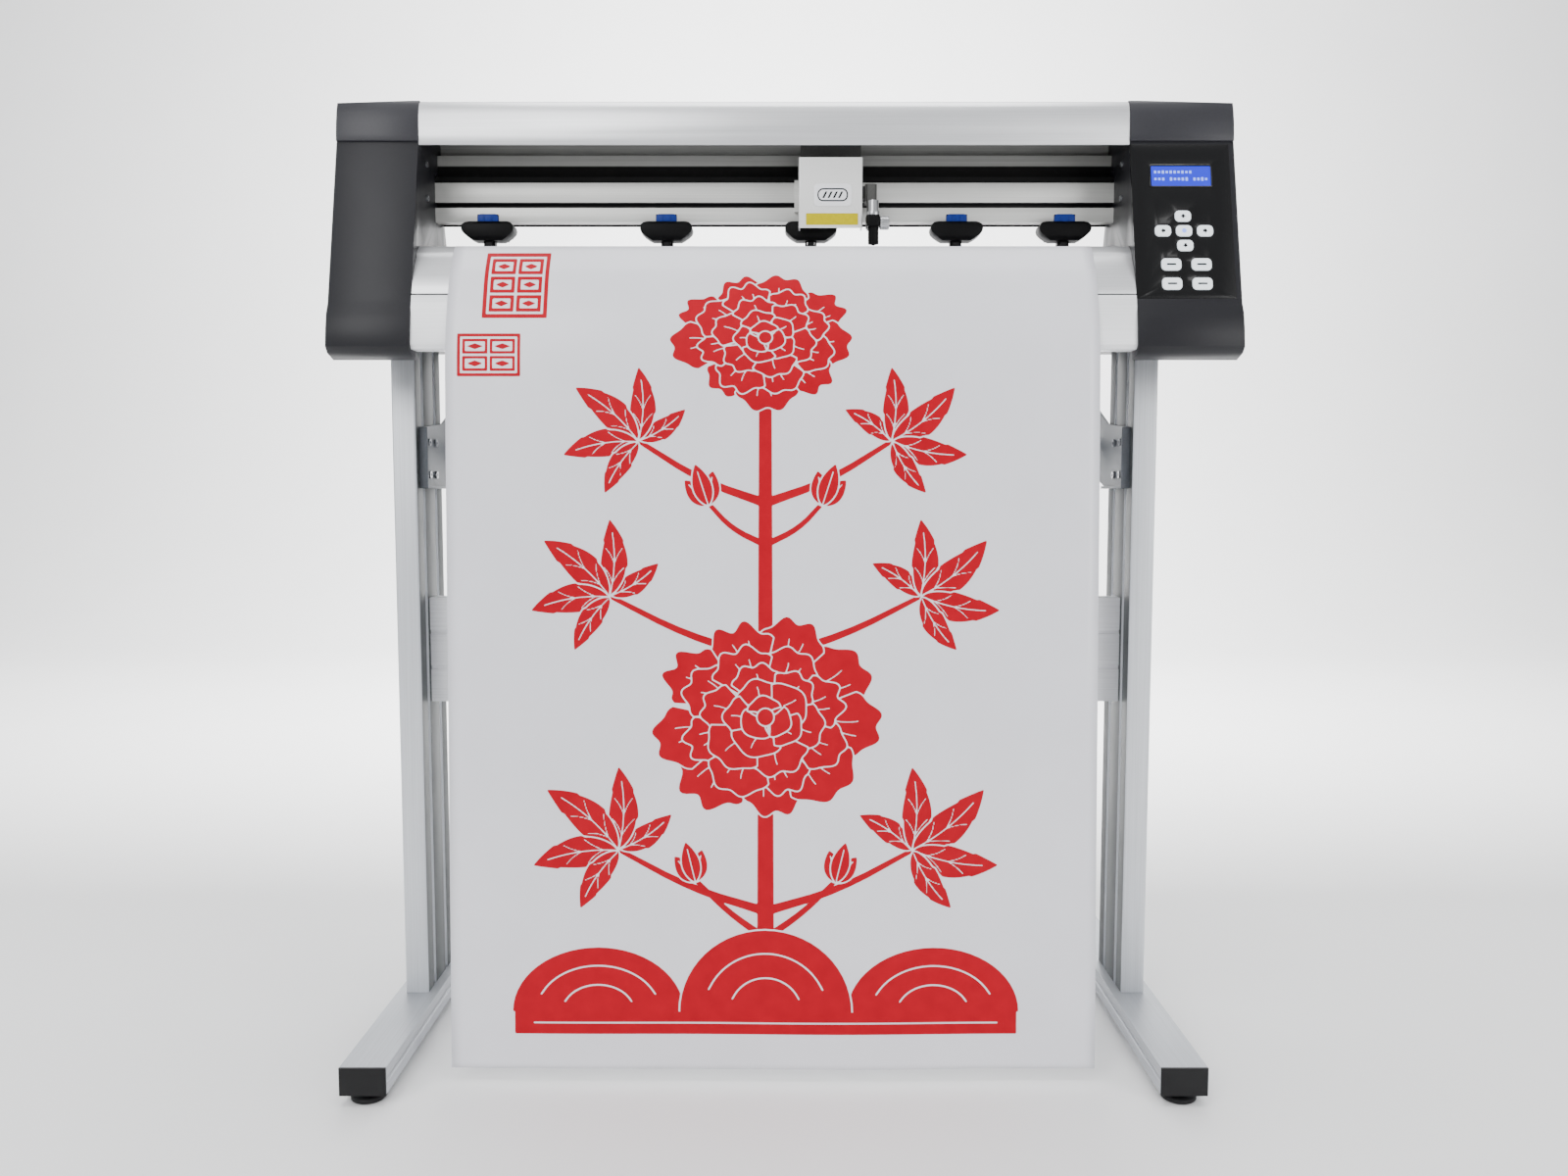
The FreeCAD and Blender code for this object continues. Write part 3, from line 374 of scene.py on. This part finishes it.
# raised rim round the display
orim, irim = rounded(63.2, 24.6, 2.4), rounded(59.6, 21.0, 1.1)
n = len(orim)
vs = [f(a, b, 0.1) for a, b in orim] + [f(a, b, 0.5) for a, b in orim] + [f(a, b, 0.1) for a, b in irim] + [f(a, b, 0.35) for a, b in irim]
fs = []
for i in range(n):
    j = (i + 1) % n
    fs += [[i, j, n + j, n + i], [n + i, n + j, 3 * n + j, 3 * n + i], [2 * n + j, 2 * n + i, 3 * n + i, 3 * n + j], [i, 2 * n + i, 2 * n + j, j]]
new_obj("display_rim", vs, fs, M["panel"], "machine_frame", True)

# ------------------------------------------------------------------ carriage details


def front(x0, z0, y0):
    return lambda a, b, c: ((x0 + a) * MM, (y0 - c) * MM, (z0 + b) * MM)


plate("emblem_plate", rounded(38, 22.5, 4.0), front(48.4, 883.6, -76.0), 0.0, 0.9, M["plate"], "carriage", 0.3)
g = front(48.4, 883.6, -76.9)
for i, (w, h) in enumerate(((31.0, 13.0),)):
    a, b = rounded(w, h, h * 0.45, 7), rounded(w - 2.6, h - 2.6, (h - 2.6) * 0.45, 7)
    n = len(a)
    vs = [g(*p, 0.0) for p in a] + [g(*p, 0.15) for p in a] + [g(*p, 0.0) for p in b] + [g(*p, 0.15) for p in b]
    fs = []
    for q in range(n):
        j = (q + 1) % n
        fs += [[q, j, n + j, n + q], [n + q, n + j, 3 * n + j, 3 * n + q], [2 * n + j, 2 * n + q, 3 * n + q, 3 * n + j], [q, 2 * n + q, 2 * n + j, j]]
    new_obj("emblem_ring_%d" % i, vs, fs, M["glyph"], "carriage")
for i, x in enumerate((-8.0, -2.7, 2.7, 8.0)):
    plate("emblem_bar_%d" % i, [(x - 2.6, -3.2), (x - 0.6, -3.2), (x + 2.6, 3.2), (x + 0.6, 3.2)], g, 0.0, 0.15, M["glyph"], "carriage")
plate("yellow_strip", rounded(53, 11.5, 0.8), front(47.8, 859.6, -76.0), 0.0, 0.25, M["yellow"], "carriage")

# ------------------------------------------------------------------ pinch roller tabs
for i in range(1, 6):
    lo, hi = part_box("pinch_arm_%d" % i)
    xc = (lo.x + hi.x) / 2 * 1000
    prof = [(-10.9, 0), (-10.9, 6.2), (-9.6, 8.0), (-7.6, 8.8), (7.6, 8.8), (9.6, 8.0), (10.9, 6.2), (10.9, 0)]
    plate("tab_%d" % i, prof, front(xc, 861.6, -47.9), 0.0, 4.3, M["blue"], "arm_%d" % i, 0.9)
    for s in (-1, 1):
        plate("tab_rib_%d_%s" % (i, "l" if s < 0 else "r"), rounded(1.2, 6.0, 0.5, 3), front(xc + s * 4.0, 866.1, -52.2), 0.0, 0.7,
              M["blue"], "arm_%d" % i, 0.2)

# ------------------------------------------------------------------ toothed belt
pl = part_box("drive_belt")
bx0, bx1 = pl[0].x + 0.0077, pl[1].x - 0.0077
by, bz0, bz1 = -0.019, pl[0].z, pl[1].z
loop = []
L1 = bx1 - bx0
rp = 0.0070
per = 2 * L1 + 2 * math.pi * rp
count = 4 * int(per / 0.0030)


def belt_pt(s):
    s = s % per
    if s < L1:
        return (bx0 + s, by - rp), (0, 1)
    s -= L1
    if s < math.pi * rp:
        a = -math.pi / 2 + s / rp
        return (bx1 + rp * math.cos(a), by + rp * math.sin(a)), (-math.cos(a), -math.sin(a))
    s -= math.pi * rp
    if s < L1:
        return (bx1 - s, by + rp), (0, -1)
    s -= L1
    a = math.pi / 2 + s / rp
    return (bx0 + rp * math.cos(a), by + rp * math.sin(a)), (-math.cos(a), -math.sin(a))


vs, fs = [], []
for k in range(count):
    (x, y), (nx, ny) = belt_pt(per * k / count)
    tin = 0.00065 if k % 4 in (0, 1) else 0.0001
    for off, z in ((-0.0006, bz0), (tin, bz0), (tin, bz1), (-0.0006, bz1)):
        vs.append((x + nx * off, y + ny * off, z))
for k in range(count):
    j = (k + 1) % count
    for q in range(4):
        r = (q + 1) % 4
        fs.append([4 * k + q, 4 * j + q, 4 * j + r, 4 * k + r])
belt = new_obj("toothed_belt", vs, fs, M["rubber"], "machine_frame")
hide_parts("drive_belt")

# ------------------------------------------------------------------ vinyl film
sl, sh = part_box("vinyl_sheet")
PATH = [(88.2, 642.0), (88.6, 700.0), (88.8, 770.0), (87.4, 786.2), (83.6, 791.4), (76.0, 796.2), (20.0, 828.4), (12.0, 830.5),
        (-88.4, 830.5), (-93.5, 828.1), (-98.65, 822.95), (-103.7, 815.45), (-109.2, 807.1), (-114.2, 798.1), (-118.8, 787.5),
        (-123.2, 774.1), (-127.8, 761.1), (-132.6, 744.1), (-136.6, 724.0), (-139.4, 690.0), (-153.2, 390.0), (-170.2, 12.0)]


def chaikin(p, n):
    for _ in range(n):
        q = [p[0]]
        for a, b in zip(p, p[1:]):
            q += [(0.75 * a[0] + 0.25 * b[0], 0.75 * a[1] + 0.25 * b[1]), (0.25 * a[0] + 0.75 * b[0], 0.25 * a[1] + 0.75 * b[1])]
        q.append(p[-1])
        p = q
    return p


dense = chaikin(PATH, 3)
pts = [dense[0]]
for a, b in zip(dense, dense[1:]):
    l = math.hypot(b[0] - a[0], b[1] - a[1])
    m = max(1, int(l / 9.0))
    for i in range(1, m + 1):
        q = (a[0] + (b[0] - a[0]) * i / m, a[1] + (b[1] - a[1]) * i / m)
        if math.hypot(q[0] - pts[-1][0], q[1] - pts[-1][1]) > 1.0:
            pts.append(q)
if pts[-1] != dense[-1]:
    pts[-1] = dense[-1]
SX0, SX1 = sl.x, sh.x


def ripple(x, z):
    """Gentle waves of the hanging film, in metres towards -Y."""
    if z > 0.70:
        return 0.0
    k = min(1.0, (0.70 - z) / 0.35)
    return k * k * (0.0016 * math.sin(9.0 * x + 1.2) + 0.0007 * math.sin(23.0 * x + 4.0 * z))


NC = 54
nor = []
for i in range(len(pts)):
    a, b = pts[max(0, i - 1)], pts[min(len(pts) - 1, i + 1)]
    l = math.hypot(b[0] - a[0], b[1] - a[1])
    nor.append(((b[1] - a[1]) / l, -(b[0] - a[0]) / l))
front_from = max(range(len(pts)), key=lambda i: pts[i][1] if pts[i][0] < -40 else 0)
vs, fs = [], []
for i, (y, z) in enumerate(pts):
    for c in range(NC + 1):
        x = SX0 + (SX1 - SX0) * c / NC
        w = ripple(x, z * MM) if y < -100 else 0.0
        vs.append((x, y * MM - w, z * MM))
for i in range(len(pts) - 1):
    for c in range(NC):
        a = i * (NC + 1) + c
        fs.append([a, a + 1, a + NC + 2, a + NC + 1])
film = new_obj("film", vs, fs, M["film"], None, True)
sol = film.modifiers.new("thickness", "SOLIDIFY")
sol.thickness = 0.00025
sol.offset = 0.0
bpy.context.view_layer.update()
dg = bpy.context.evaluated_depsgraph_get()
me = bpy.data.meshes.new_from_object(film.evaluated_get(dg))
film.modifiers.clear()
film.data = me
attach(film, "machine_frame")
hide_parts("vinyl_sheet")
length = sum(math.hypot(b[0] - a[0], b[1] - a[1]) for a, b in zip(pts, pts[1:])) * MM

# the front face of the film as a function of height
FRONT = [(z * MM, y * MM, nor[i]) for i, (y, z) in enumerate(pts) if y < -88.0]
FRONT.sort(key=lambda q: -q[0])


def film_point(u, v):
    """u, v are design units on the hanging face, 663 wide by 835 tall, v down."""
    x = SX0 + (SX1 - SX0) * u / 663.0
    ztop, zbot = 0.8225, SZ0
    z = ztop + (zbot - ztop) * v / 835.0
    lo, hi = 0, len(FRONT) - 1
    while hi - lo > 1:
        mid = (lo + hi) // 2
        if FRONT[mid][0] > z:
            lo = mid
        else:
            hi = mid
    a, b = FRONT[lo], FRONT[hi]
    t = 0 if a[0] == b[0] else (a[0] - z) / (a[0] - b[0])
    t = min(1.0, max(0.0, t))
    y = a[1] + (b[1] - a[1]) * t - ripple(x, z)
    ny, nz = a[2][0] + (b[2][0] - a[2][0]) * t, a[2][1] + (b[2][1] - a[2][1]) * t
    if ny > 0:
        ny, nz = -ny, -nz
    return x, y, z, ny, nz


SZ0 = sl.z
OPS = []          # drawing steps in design units, painted one over the other


def add(poly, gap=1.5):
    """A red piece; a gap keeps a thin open line between it and what lies under it, None joins them."""
    OPS.append(("add", poly, gap))


def slit(line, w=0.75):
    OPS.append(("cut", line, w))


def leaf(x, y, ang, length, width, veins=2, curl=0.12):
    """A pointed leaf with a wavy margin, an open midrib and a few open veins."""
    a = math.radians(ang)
    ca, sa = math.cos(a), math.sin(a)

    def tr(s, w):
        w += curl * length * s * (1 - s) * 2
        px, py = s * length, w
        return (x + px * ca - py * sa, y + px * sa + py * ca)

    def half(s):
        h = width / 2 * math.sin(math.pi * s ** 0.85) ** 0.8 if 0 < s < 1 else 0
        return h * (1 - 0.13 * ((s * (veins + 0.8)) % 1.0)) if veins else h
    n = 26
    add([tr(i / n, max(half(i / n), 0.5)) for i in range(n + 1)] + [tr(i / n, -max(half(i / n), 0.5)) for i in range(n, -1, -1)])
    if width > 9:
        slit([tr(0.02 + 0.09 * k, 0) for k in range(10)], 0.62)
    for v in range(veins):
        s0 = 0.16 + 0.52 * v / max(1, veins)
        for side in (1, -1):
            s1 = s0 + 0.20
            slit([tr(s0, 0), tr((s0 + s1) / 2 + 0.02, side * half(s1) * 0.34), tr(s1, side * half(s1) * 0.74)], 0.5)


def stroke(points, w0, w1, knots=0.0, gap=None):
    p = chaikin(points, 2)
    left, right = [], []
    for i, (x, y) in enumerate(p):
        a, b = p[max(0, i - 1)], p[min(len(p) - 1, i + 1)]
        l = math.hypot(b[0] - a[0], b[1] - a[1]) or 1
        nx, ny = -(b[1] - a[1]) / l, (b[0] - a[0]) / l
        t = i / (len(p) - 1)
        w = (w0 + (w1 - w0) * t) / 2 * (1 + knots * math.sin(i * 1.7))
        left.append((x + nx * w, y + ny * w))
        right.append((x - nx * w, y - ny * w))
    add(left + list(reversed(right)), gap)


def petal(cx, cy, a0, half, r0, r1, sx=1.0, sy=1.0, slits=2, lobes=3, dip=0.07, gap=1.5):
    """A fan-shaped petal with a lobed outer edge and open lines that rise from its foot."""
    out = []
    n = 30
    for i in range(n + 1):
        t = -1 + 2 * i / n
        r = r1 * (1 - 0.20 * abs(t) ** 2.2) * (1 - dip * (0.5 - 0.5 * math.cos(math.pi * (t + 1) * lobes)) * (1 - t * t * 0.4))
        a = a0 + half * t
        out.append((cx + sx * r * math.cos(a), cy + sy * r * math.sin(a)))
    side = []
    for q in (0.78, 0.55, 0.32, 0.0):
        r = r0 + (r1 * 0.8 - r0) * q
        w = half * (0.42 + 0.60 * q ** 0.7)
        side.append((r, w))
    out += [(cx + sx * r * math.cos(a0 + w), cy + sy * r * math.sin(a0 + w)) for r, w in side]
    out += [(cx + sx * r * math.cos(a0 - w), cy + sy * r * math.sin(a0 - w)) for r, w in reversed(side)]
    add(out, gap)
    for k in range(slits):
        t = ((k + 1) / (slits + 1) * 2 - 1) * 0.62
        line = []
        for q in range(6):
            f = q / 5
            r = r1 * (0.50 + (0.30 - 0.08 * abs(t)) * f)
            a = a0 + half * t * (0.75 + 0.35 * f) + 0.05 * math.sin(2.2 * f)
            line.append((cx + sx * r * math.cos(a), cy + sy * r * math.sin(a)))
        slit(line, 0.6)


def bloom(cx, cy, rx, ry, turn_deg=0.0):
    """A full garden flower: rings of petals painted from the outside in."""
    t0 = math.radians(turn_deg)
    for r1, cnt, half, off, slits, lobes in ((1.0, 9, 0.40, 0.0, 2, 3), (0.78, 8, 0.44, 0.30, 2, 3), (0.57, 6, 0.58, 0.12, 1, 3),
                                             (0.38, 5, 0.70, 0.5, 1, 2), (0.22, 3, 1.0, 0.2, 0, 2)):
        order = list(range(cnt))
        rng.shuffle(order)
        for k in order:
            a = t0 + off + 2 * math.pi * k / cnt + 0.16 * (rng.random() - 0.5)
            petal(cx, cy, a, half * (1 + 0.24 * (rng.random() - 0.5)), 0.04, r1 * (1 + 0.16 * (rng.random() - 0.55)), rx, ry, slits, lobes,
                  0.05 + 0.06 * rng.random())
    c = [(cx + rx * 0.07 * math.cos(k * math.pi / 10), cy + ry * 0.08 * math.sin(k * math.pi / 10)) for k in range(20)]
    add(c)


def cluster(x, y, items):
    for ang, ln, wd in items:
        a = math.radians(ang)
        leaf(x + 2 * math.cos(a), y + 2 * math.sin(a), ang, ln + 3, wd)


def bud(x, y, ang, s):
    for d, k in ((-26, 0.8), (26, 0.8), (0, 1.0)):
        leaf(x, y, ang + d, 34 * s * k, 15 * s, 0, 0.0)


# a regular mirrored spray: one upright stem, level pairs of leaf sprays, two blooms on the centre line
AX = 324
stroke([(AX, 60), (AX, 240), (AX, 480), (AX, 770)], 11, 18)
for y, reach, size in ((196, 128, 0.95), (352, 158, 1.0), (610, 150, 1.1)):
    for sd in (-1, 1):
        stroke([(AX, y + 62), (AX + sd * reach * 0.5, y + 40), (AX + sd * reach, y)], 10, 4)
        cluster(AX + sd * reach, y, [(-90 - sd * 56, 54 * size, 22 * size), (-90, 72 * size, 28 * size), (-90 + sd * 50, 82 * size, 32 * size),
                                     (-90 + sd * 100, 76 * size, 30 * size), (-90 + sd * 146, 60 * size, 24 * size)])
for sd in (-1, 1):
    stroke([(AX, 300), (AX + sd * 34, 284), (AX + sd * 58, 258)], 7, 4)
    bud(AX + sd * 58, 260, -90 + sd * 18, 1.25)
    stroke([(AX, 700), (AX + sd * 40, 672), (AX + sd * 72, 640)], 8, 4)
    bud(AX + sd * 72, 642, -90 + sd * 14, 1.2)
bloom(AX, 92, 92, 72, 8)
bloom(AX, 474, 116, 104, 8)
# three equal round mounds with even rings, on a plain bar
for mx in (152, 496, 324):
    add([(mx + 88 * math.cos(math.pi * k / 28), 776 - (66 if mx != 324 else 84) * math.sin(math.pi * k / 28)) for k in range(29)], 1.8)
    for q in (0.42, 0.72):
        slit([(mx + 88 * q * math.cos(math.pi * k / 16), 776 - (66 if mx != 324 else 84) * q * math.sin(math.pi * k / 16)) for k in range(2, 15)], 0.9)
add([(66, 776), (582, 776), (582, 799), (66, 799)], None)
slit([(86, 787.5), (562, 787.5)], 0.9)


def bar(x, y, w, h):
    add([(x, y), (x + w, y), (x + w, y + h), (x, y + h)], None)


def ornament(x, y, w, h, rows, b, g, fill=False):
    """Stacked key-pattern blocks inside a frame: a plain geometric ornament."""
    bar(x, y, w, b)
    bar(x, y + h - b, w, b)
    bar(x, y, b, h)
    bar(x + w - b, y, b, h)
    ix, iy, iw, ih = x + b + g, y + b + g, w - 2 * (b + g), h - 2 * (b + g)
    rh = (ih - g * (rows - 1)) / rows
    cw = (iw - g) / 2
    for r in range(rows):
        for c in range(2):
            x0, y0, t = ix + c * (cw + g), iy + r * (rh + g), b * 0.85
            bar(x0, y0, cw, t)
            bar(x0, y0 + rh - t, cw, t)
            bar(x0, y0, t, rh)
            bar(x0 + cw - t, y0, t, rh)
            m = t + g * 0.8
            add([(x0 + cw / 2, y0 + m), (x0 + cw - m, y0 + rh / 2), (x0 + cw / 2, y0 + rh - m), (x0 + m, y0 + rh / 2)], None)


ornament(36, 2, 66, 70, 3, 4.0, 2.6)
ornament(12, 88, 64, 43, 2, 3.0, 2.4)


def polygon_field(poly, X, Y):
    """Signed distance to a closed outline, positive inside."""
    d2 = np.full(X.shape, 1e9)
    inside = np.zeros(X.shape, dtype=bool)
    n = len(poly)
    for i in range(n):
        ax, ay = poly[i]
        bx, by = poly[(i + 1) % n]
        ex, ey = bx - ax, by - ay
        wx, wy = X - ax, Y - ay
        t = np.clip((wx * ex + wy * ey) / (ex * ex + ey * ey + 1e-9), 0, 1)
        d2 = np.minimum(d2, (wx - ex * t) ** 2 + (wy - ey * t) ** 2)
        if ay != by:
            inside ^= ((ay <= Y) != (by <= Y)) & (X < ex * (Y - ay) / (by - ay) + ax)
    d = np.sqrt(d2)
    return np.where(inside, d, -d)


def line_field(line, X, Y):
    d2 = np.full(X.shape, 1e9)
    for (ax, ay), (bx, by) in zip(line, line[1:]):
        ex, ey = bx - ax, by - ay
        wx, wy = X - ax, Y - ay
        t = np.clip((wx * ex + wy * ey) / (ex * ex + ey * ey + 1e-9), 0, 1)
        d2 = np.minimum(d2, (wx - ex * t) ** 2 + (wy - ey * t) ** 2)
    return np.sqrt(d2)


def build_motif():
    step, ox, oy = 1.05, 6.0, 0.0
    nx, ny = int(620 / step), int(806 / step)
    gx, gy = ox + step * np.arange(nx), oy + step * np.arange(ny)
    F = np.full((ny, nx), -3.0)
    for kind, pts2, w in OPS:
        p = chaikin(pts2, 2) if kind == "cut" and len(pts2) > 2 else pts2
        m = 4.0 + (w or 0)
        xs_, ys_ = [q[0] for q in p], [q[1] for q in p]
        i0, i1 = max(0, int((min(xs_) - m - ox) / step)), min(nx, int((max(xs_) + m - ox) / step) + 2)
        j0, j1 = max(0, int((min(ys_) - m - oy) / step)), min(ny, int((max(ys_) + m - oy) / step) + 2)
        if i1 <= i0 or j1 <= j0:
            continue
        X, Y = np.meshgrid(gx[i0:i1], gy[j0:j1])
        sub = F[j0:j1, i0:i1]
        if kind == "add":
            d = polygon_field(p, X, Y)
            if w is not None:
                sub = np.minimum(sub, -(d + w))
            sub = np.maximum(sub, d)
        else:
            sub = np.minimum(sub, line_field(p, X, Y) - w)
        F[j0:j1, i0:i1] = sub
    F = np.clip(F, -3.0, 3.0)
    verts, index, faces = [], {}, []

    def vert(x, y, top):
        k = (round(x, 4), round(y, 4), top)
        if k not in index:
            px, py, pz, ny_, nz_ = film_point(x, y)
            h = 0.00030 if top else 0.00014
            index[k] = len(verts)
            verts.append((px, py + ny_ * h, pz + nz_ * h))
        return index[k]

    for j in range(ny - 1):
        y0, y1 = gy[j], gy[j + 1]
        run = None
        for i in range(nx - 1):
            f = (F[j, i], F[j, i + 1], F[j + 1, i + 1], F[j + 1, i])
            full = min(f) > 0
            if run is not None and (not full or i % 10 == 0):
                faces.append([vert(gx[run], y0, 1), vert(gx[run], y1, 1), vert(gx[i], y1, 1), vert(gx[i], y0, 1)])
                run = None
            if full:
                if run is None:
                    run = i
                continue
            if max(f) <= 0:
                continue
            c = ((gx[i], y0), (gx[i + 1], y0), (gx[i + 1], y1), (gx[i], y1))
            poly, cross = [], []
            for k in range(4):
                a, b = f[k], f[(k + 1) % 4]
                if a > 0:
                    poly.append(c[k])
                if (a > 0) != (b > 0):
                    t = min(0.999, max(0.001, a / (a - b)))
                    q = (c[k][0] + (c[(k + 1) % 4][0] - c[k][0]) * t, c[k][1] + (c[(k + 1) % 4][1] - c[k][1]) * t)
                    poly.append(q)
                    cross.append((len(poly) - 1, a > 0))
            if len(poly) < 3:
                continue
            faces.append([vert(x, y, 1) for x, y in reversed(poly)])
            for k, leaving in cross:
                if leaving:
                    a, b = poly[k], poly[(k + 1) % len(poly)]
                    faces.append([vert(*a, 1), vert(*b, 1), vert(*b, 0), vert(*a, 0)])
        if run is not None:
            faces.append([vert(gx[run], y0, 1), vert(gx[run], y1, 1), vert(gx[nx - 1], y1, 1), vert(gx[nx - 1], y0, 1)])
    me = bpy.data.meshes.new("cut_motif")
    me.from_pydata(verts, [], faces)
    me.update()
    o = bpy.data.objects.new("cut_motif", me)
    bpy.context.scene.collection.objects.link(o)
    me.materials.append(M["red"])
    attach(o, "machine_frame")
    print("motif faces", len(faces))
    return o


motif = build_motif()

# ------------------------------------------------------------------ stage, light, camera
fl = bpy.data.meshes.new("floor")
N = 24
prof = [(-6.0, 0.0), (3.0, 0.0)] + [(3.0 + 2.0 * math.sin(math.pi / 2 * i / N), 2.0 - 2.0 * math.cos(math.pi / 2 * i / N)) for i in range(1, N + 1)] + [(5.0, 7.0)]
vs = []
for y, z in prof:
    vs += [(-12.0, y, z - 0.0005), (12.0, y, z - 0.0005)]
fl.from_pydata(vs, [], [[2 * i, 2 * i + 1, 2 * i + 3, 2 * i + 2] for i in range(len(prof) - 1)])
floor = bpy.data.objects.new("floor", fl)
bpy.context.scene.collection.objects.link(floor)
for p in fl.polygons:
    p.use_smooth = True
fl.materials.append(material("studio_floor", [0.86, 0.86, 0.86], 0.6, grain=(3, 3, 3), var=0.01, bump=0.0))

world = bpy.data.worlds.new("studio")
bpy.context.scene.world = world
world.use_nodes = True
world.node_tree.nodes["Background"].inputs["Color"].default_value = (0.95, 0.97, 1.0, 1)
world.node_tree.nodes["Background"].inputs["Strength"].default_value = 0.62


def area(name, loc, target, size, energy, size_y=None):
    d = bpy.data.lights.new(name, "AREA")
    d.shape = "RECTANGLE"
    d.size = size
    d.size_y = size_y or size
    d.energy = energy
    o = bpy.data.objects.new(name, d)
    bpy.context.scene.collection.objects.link(o)
    o.location = loc
    o.rotation_euler = (Vector(target) - Vector(loc)).to_track_quat("-Z", "Y").to_euler()
    return o


area("key_light", (-1.7, -2.8, 2.4), (0, 0, 0.6), 2.0, 74)
area("fill_light", (2.3, -2.4, 1.2), (0, 0, 0.45), 1.8, 42)
area("top_light", (0, 0.2, 3.2), (0, 0, 0.5), 2.6, 105)
area("back_wall_light", (0, 1.2, 2.6), (0, 5.0, 1.4), 2.6, 640)

cam_d = bpy.data.cameras.new("camera")
cam_d.lens = 27.45
cam_d.sensor_width = 36.0
cam_d.sensor_fit = "HORIZONTAL"
cam_d.clip_end = 50
cam = bpy.data.objects.new("camera", cam_d)
bpy.context.scene.collection.objects.link(cam)
cam.location = (-0.001, -1.317, 0.580)
cam.rotation_euler = (math.radians(90 - 4.45), 0, 0)
bpy.context.scene.camera = cam
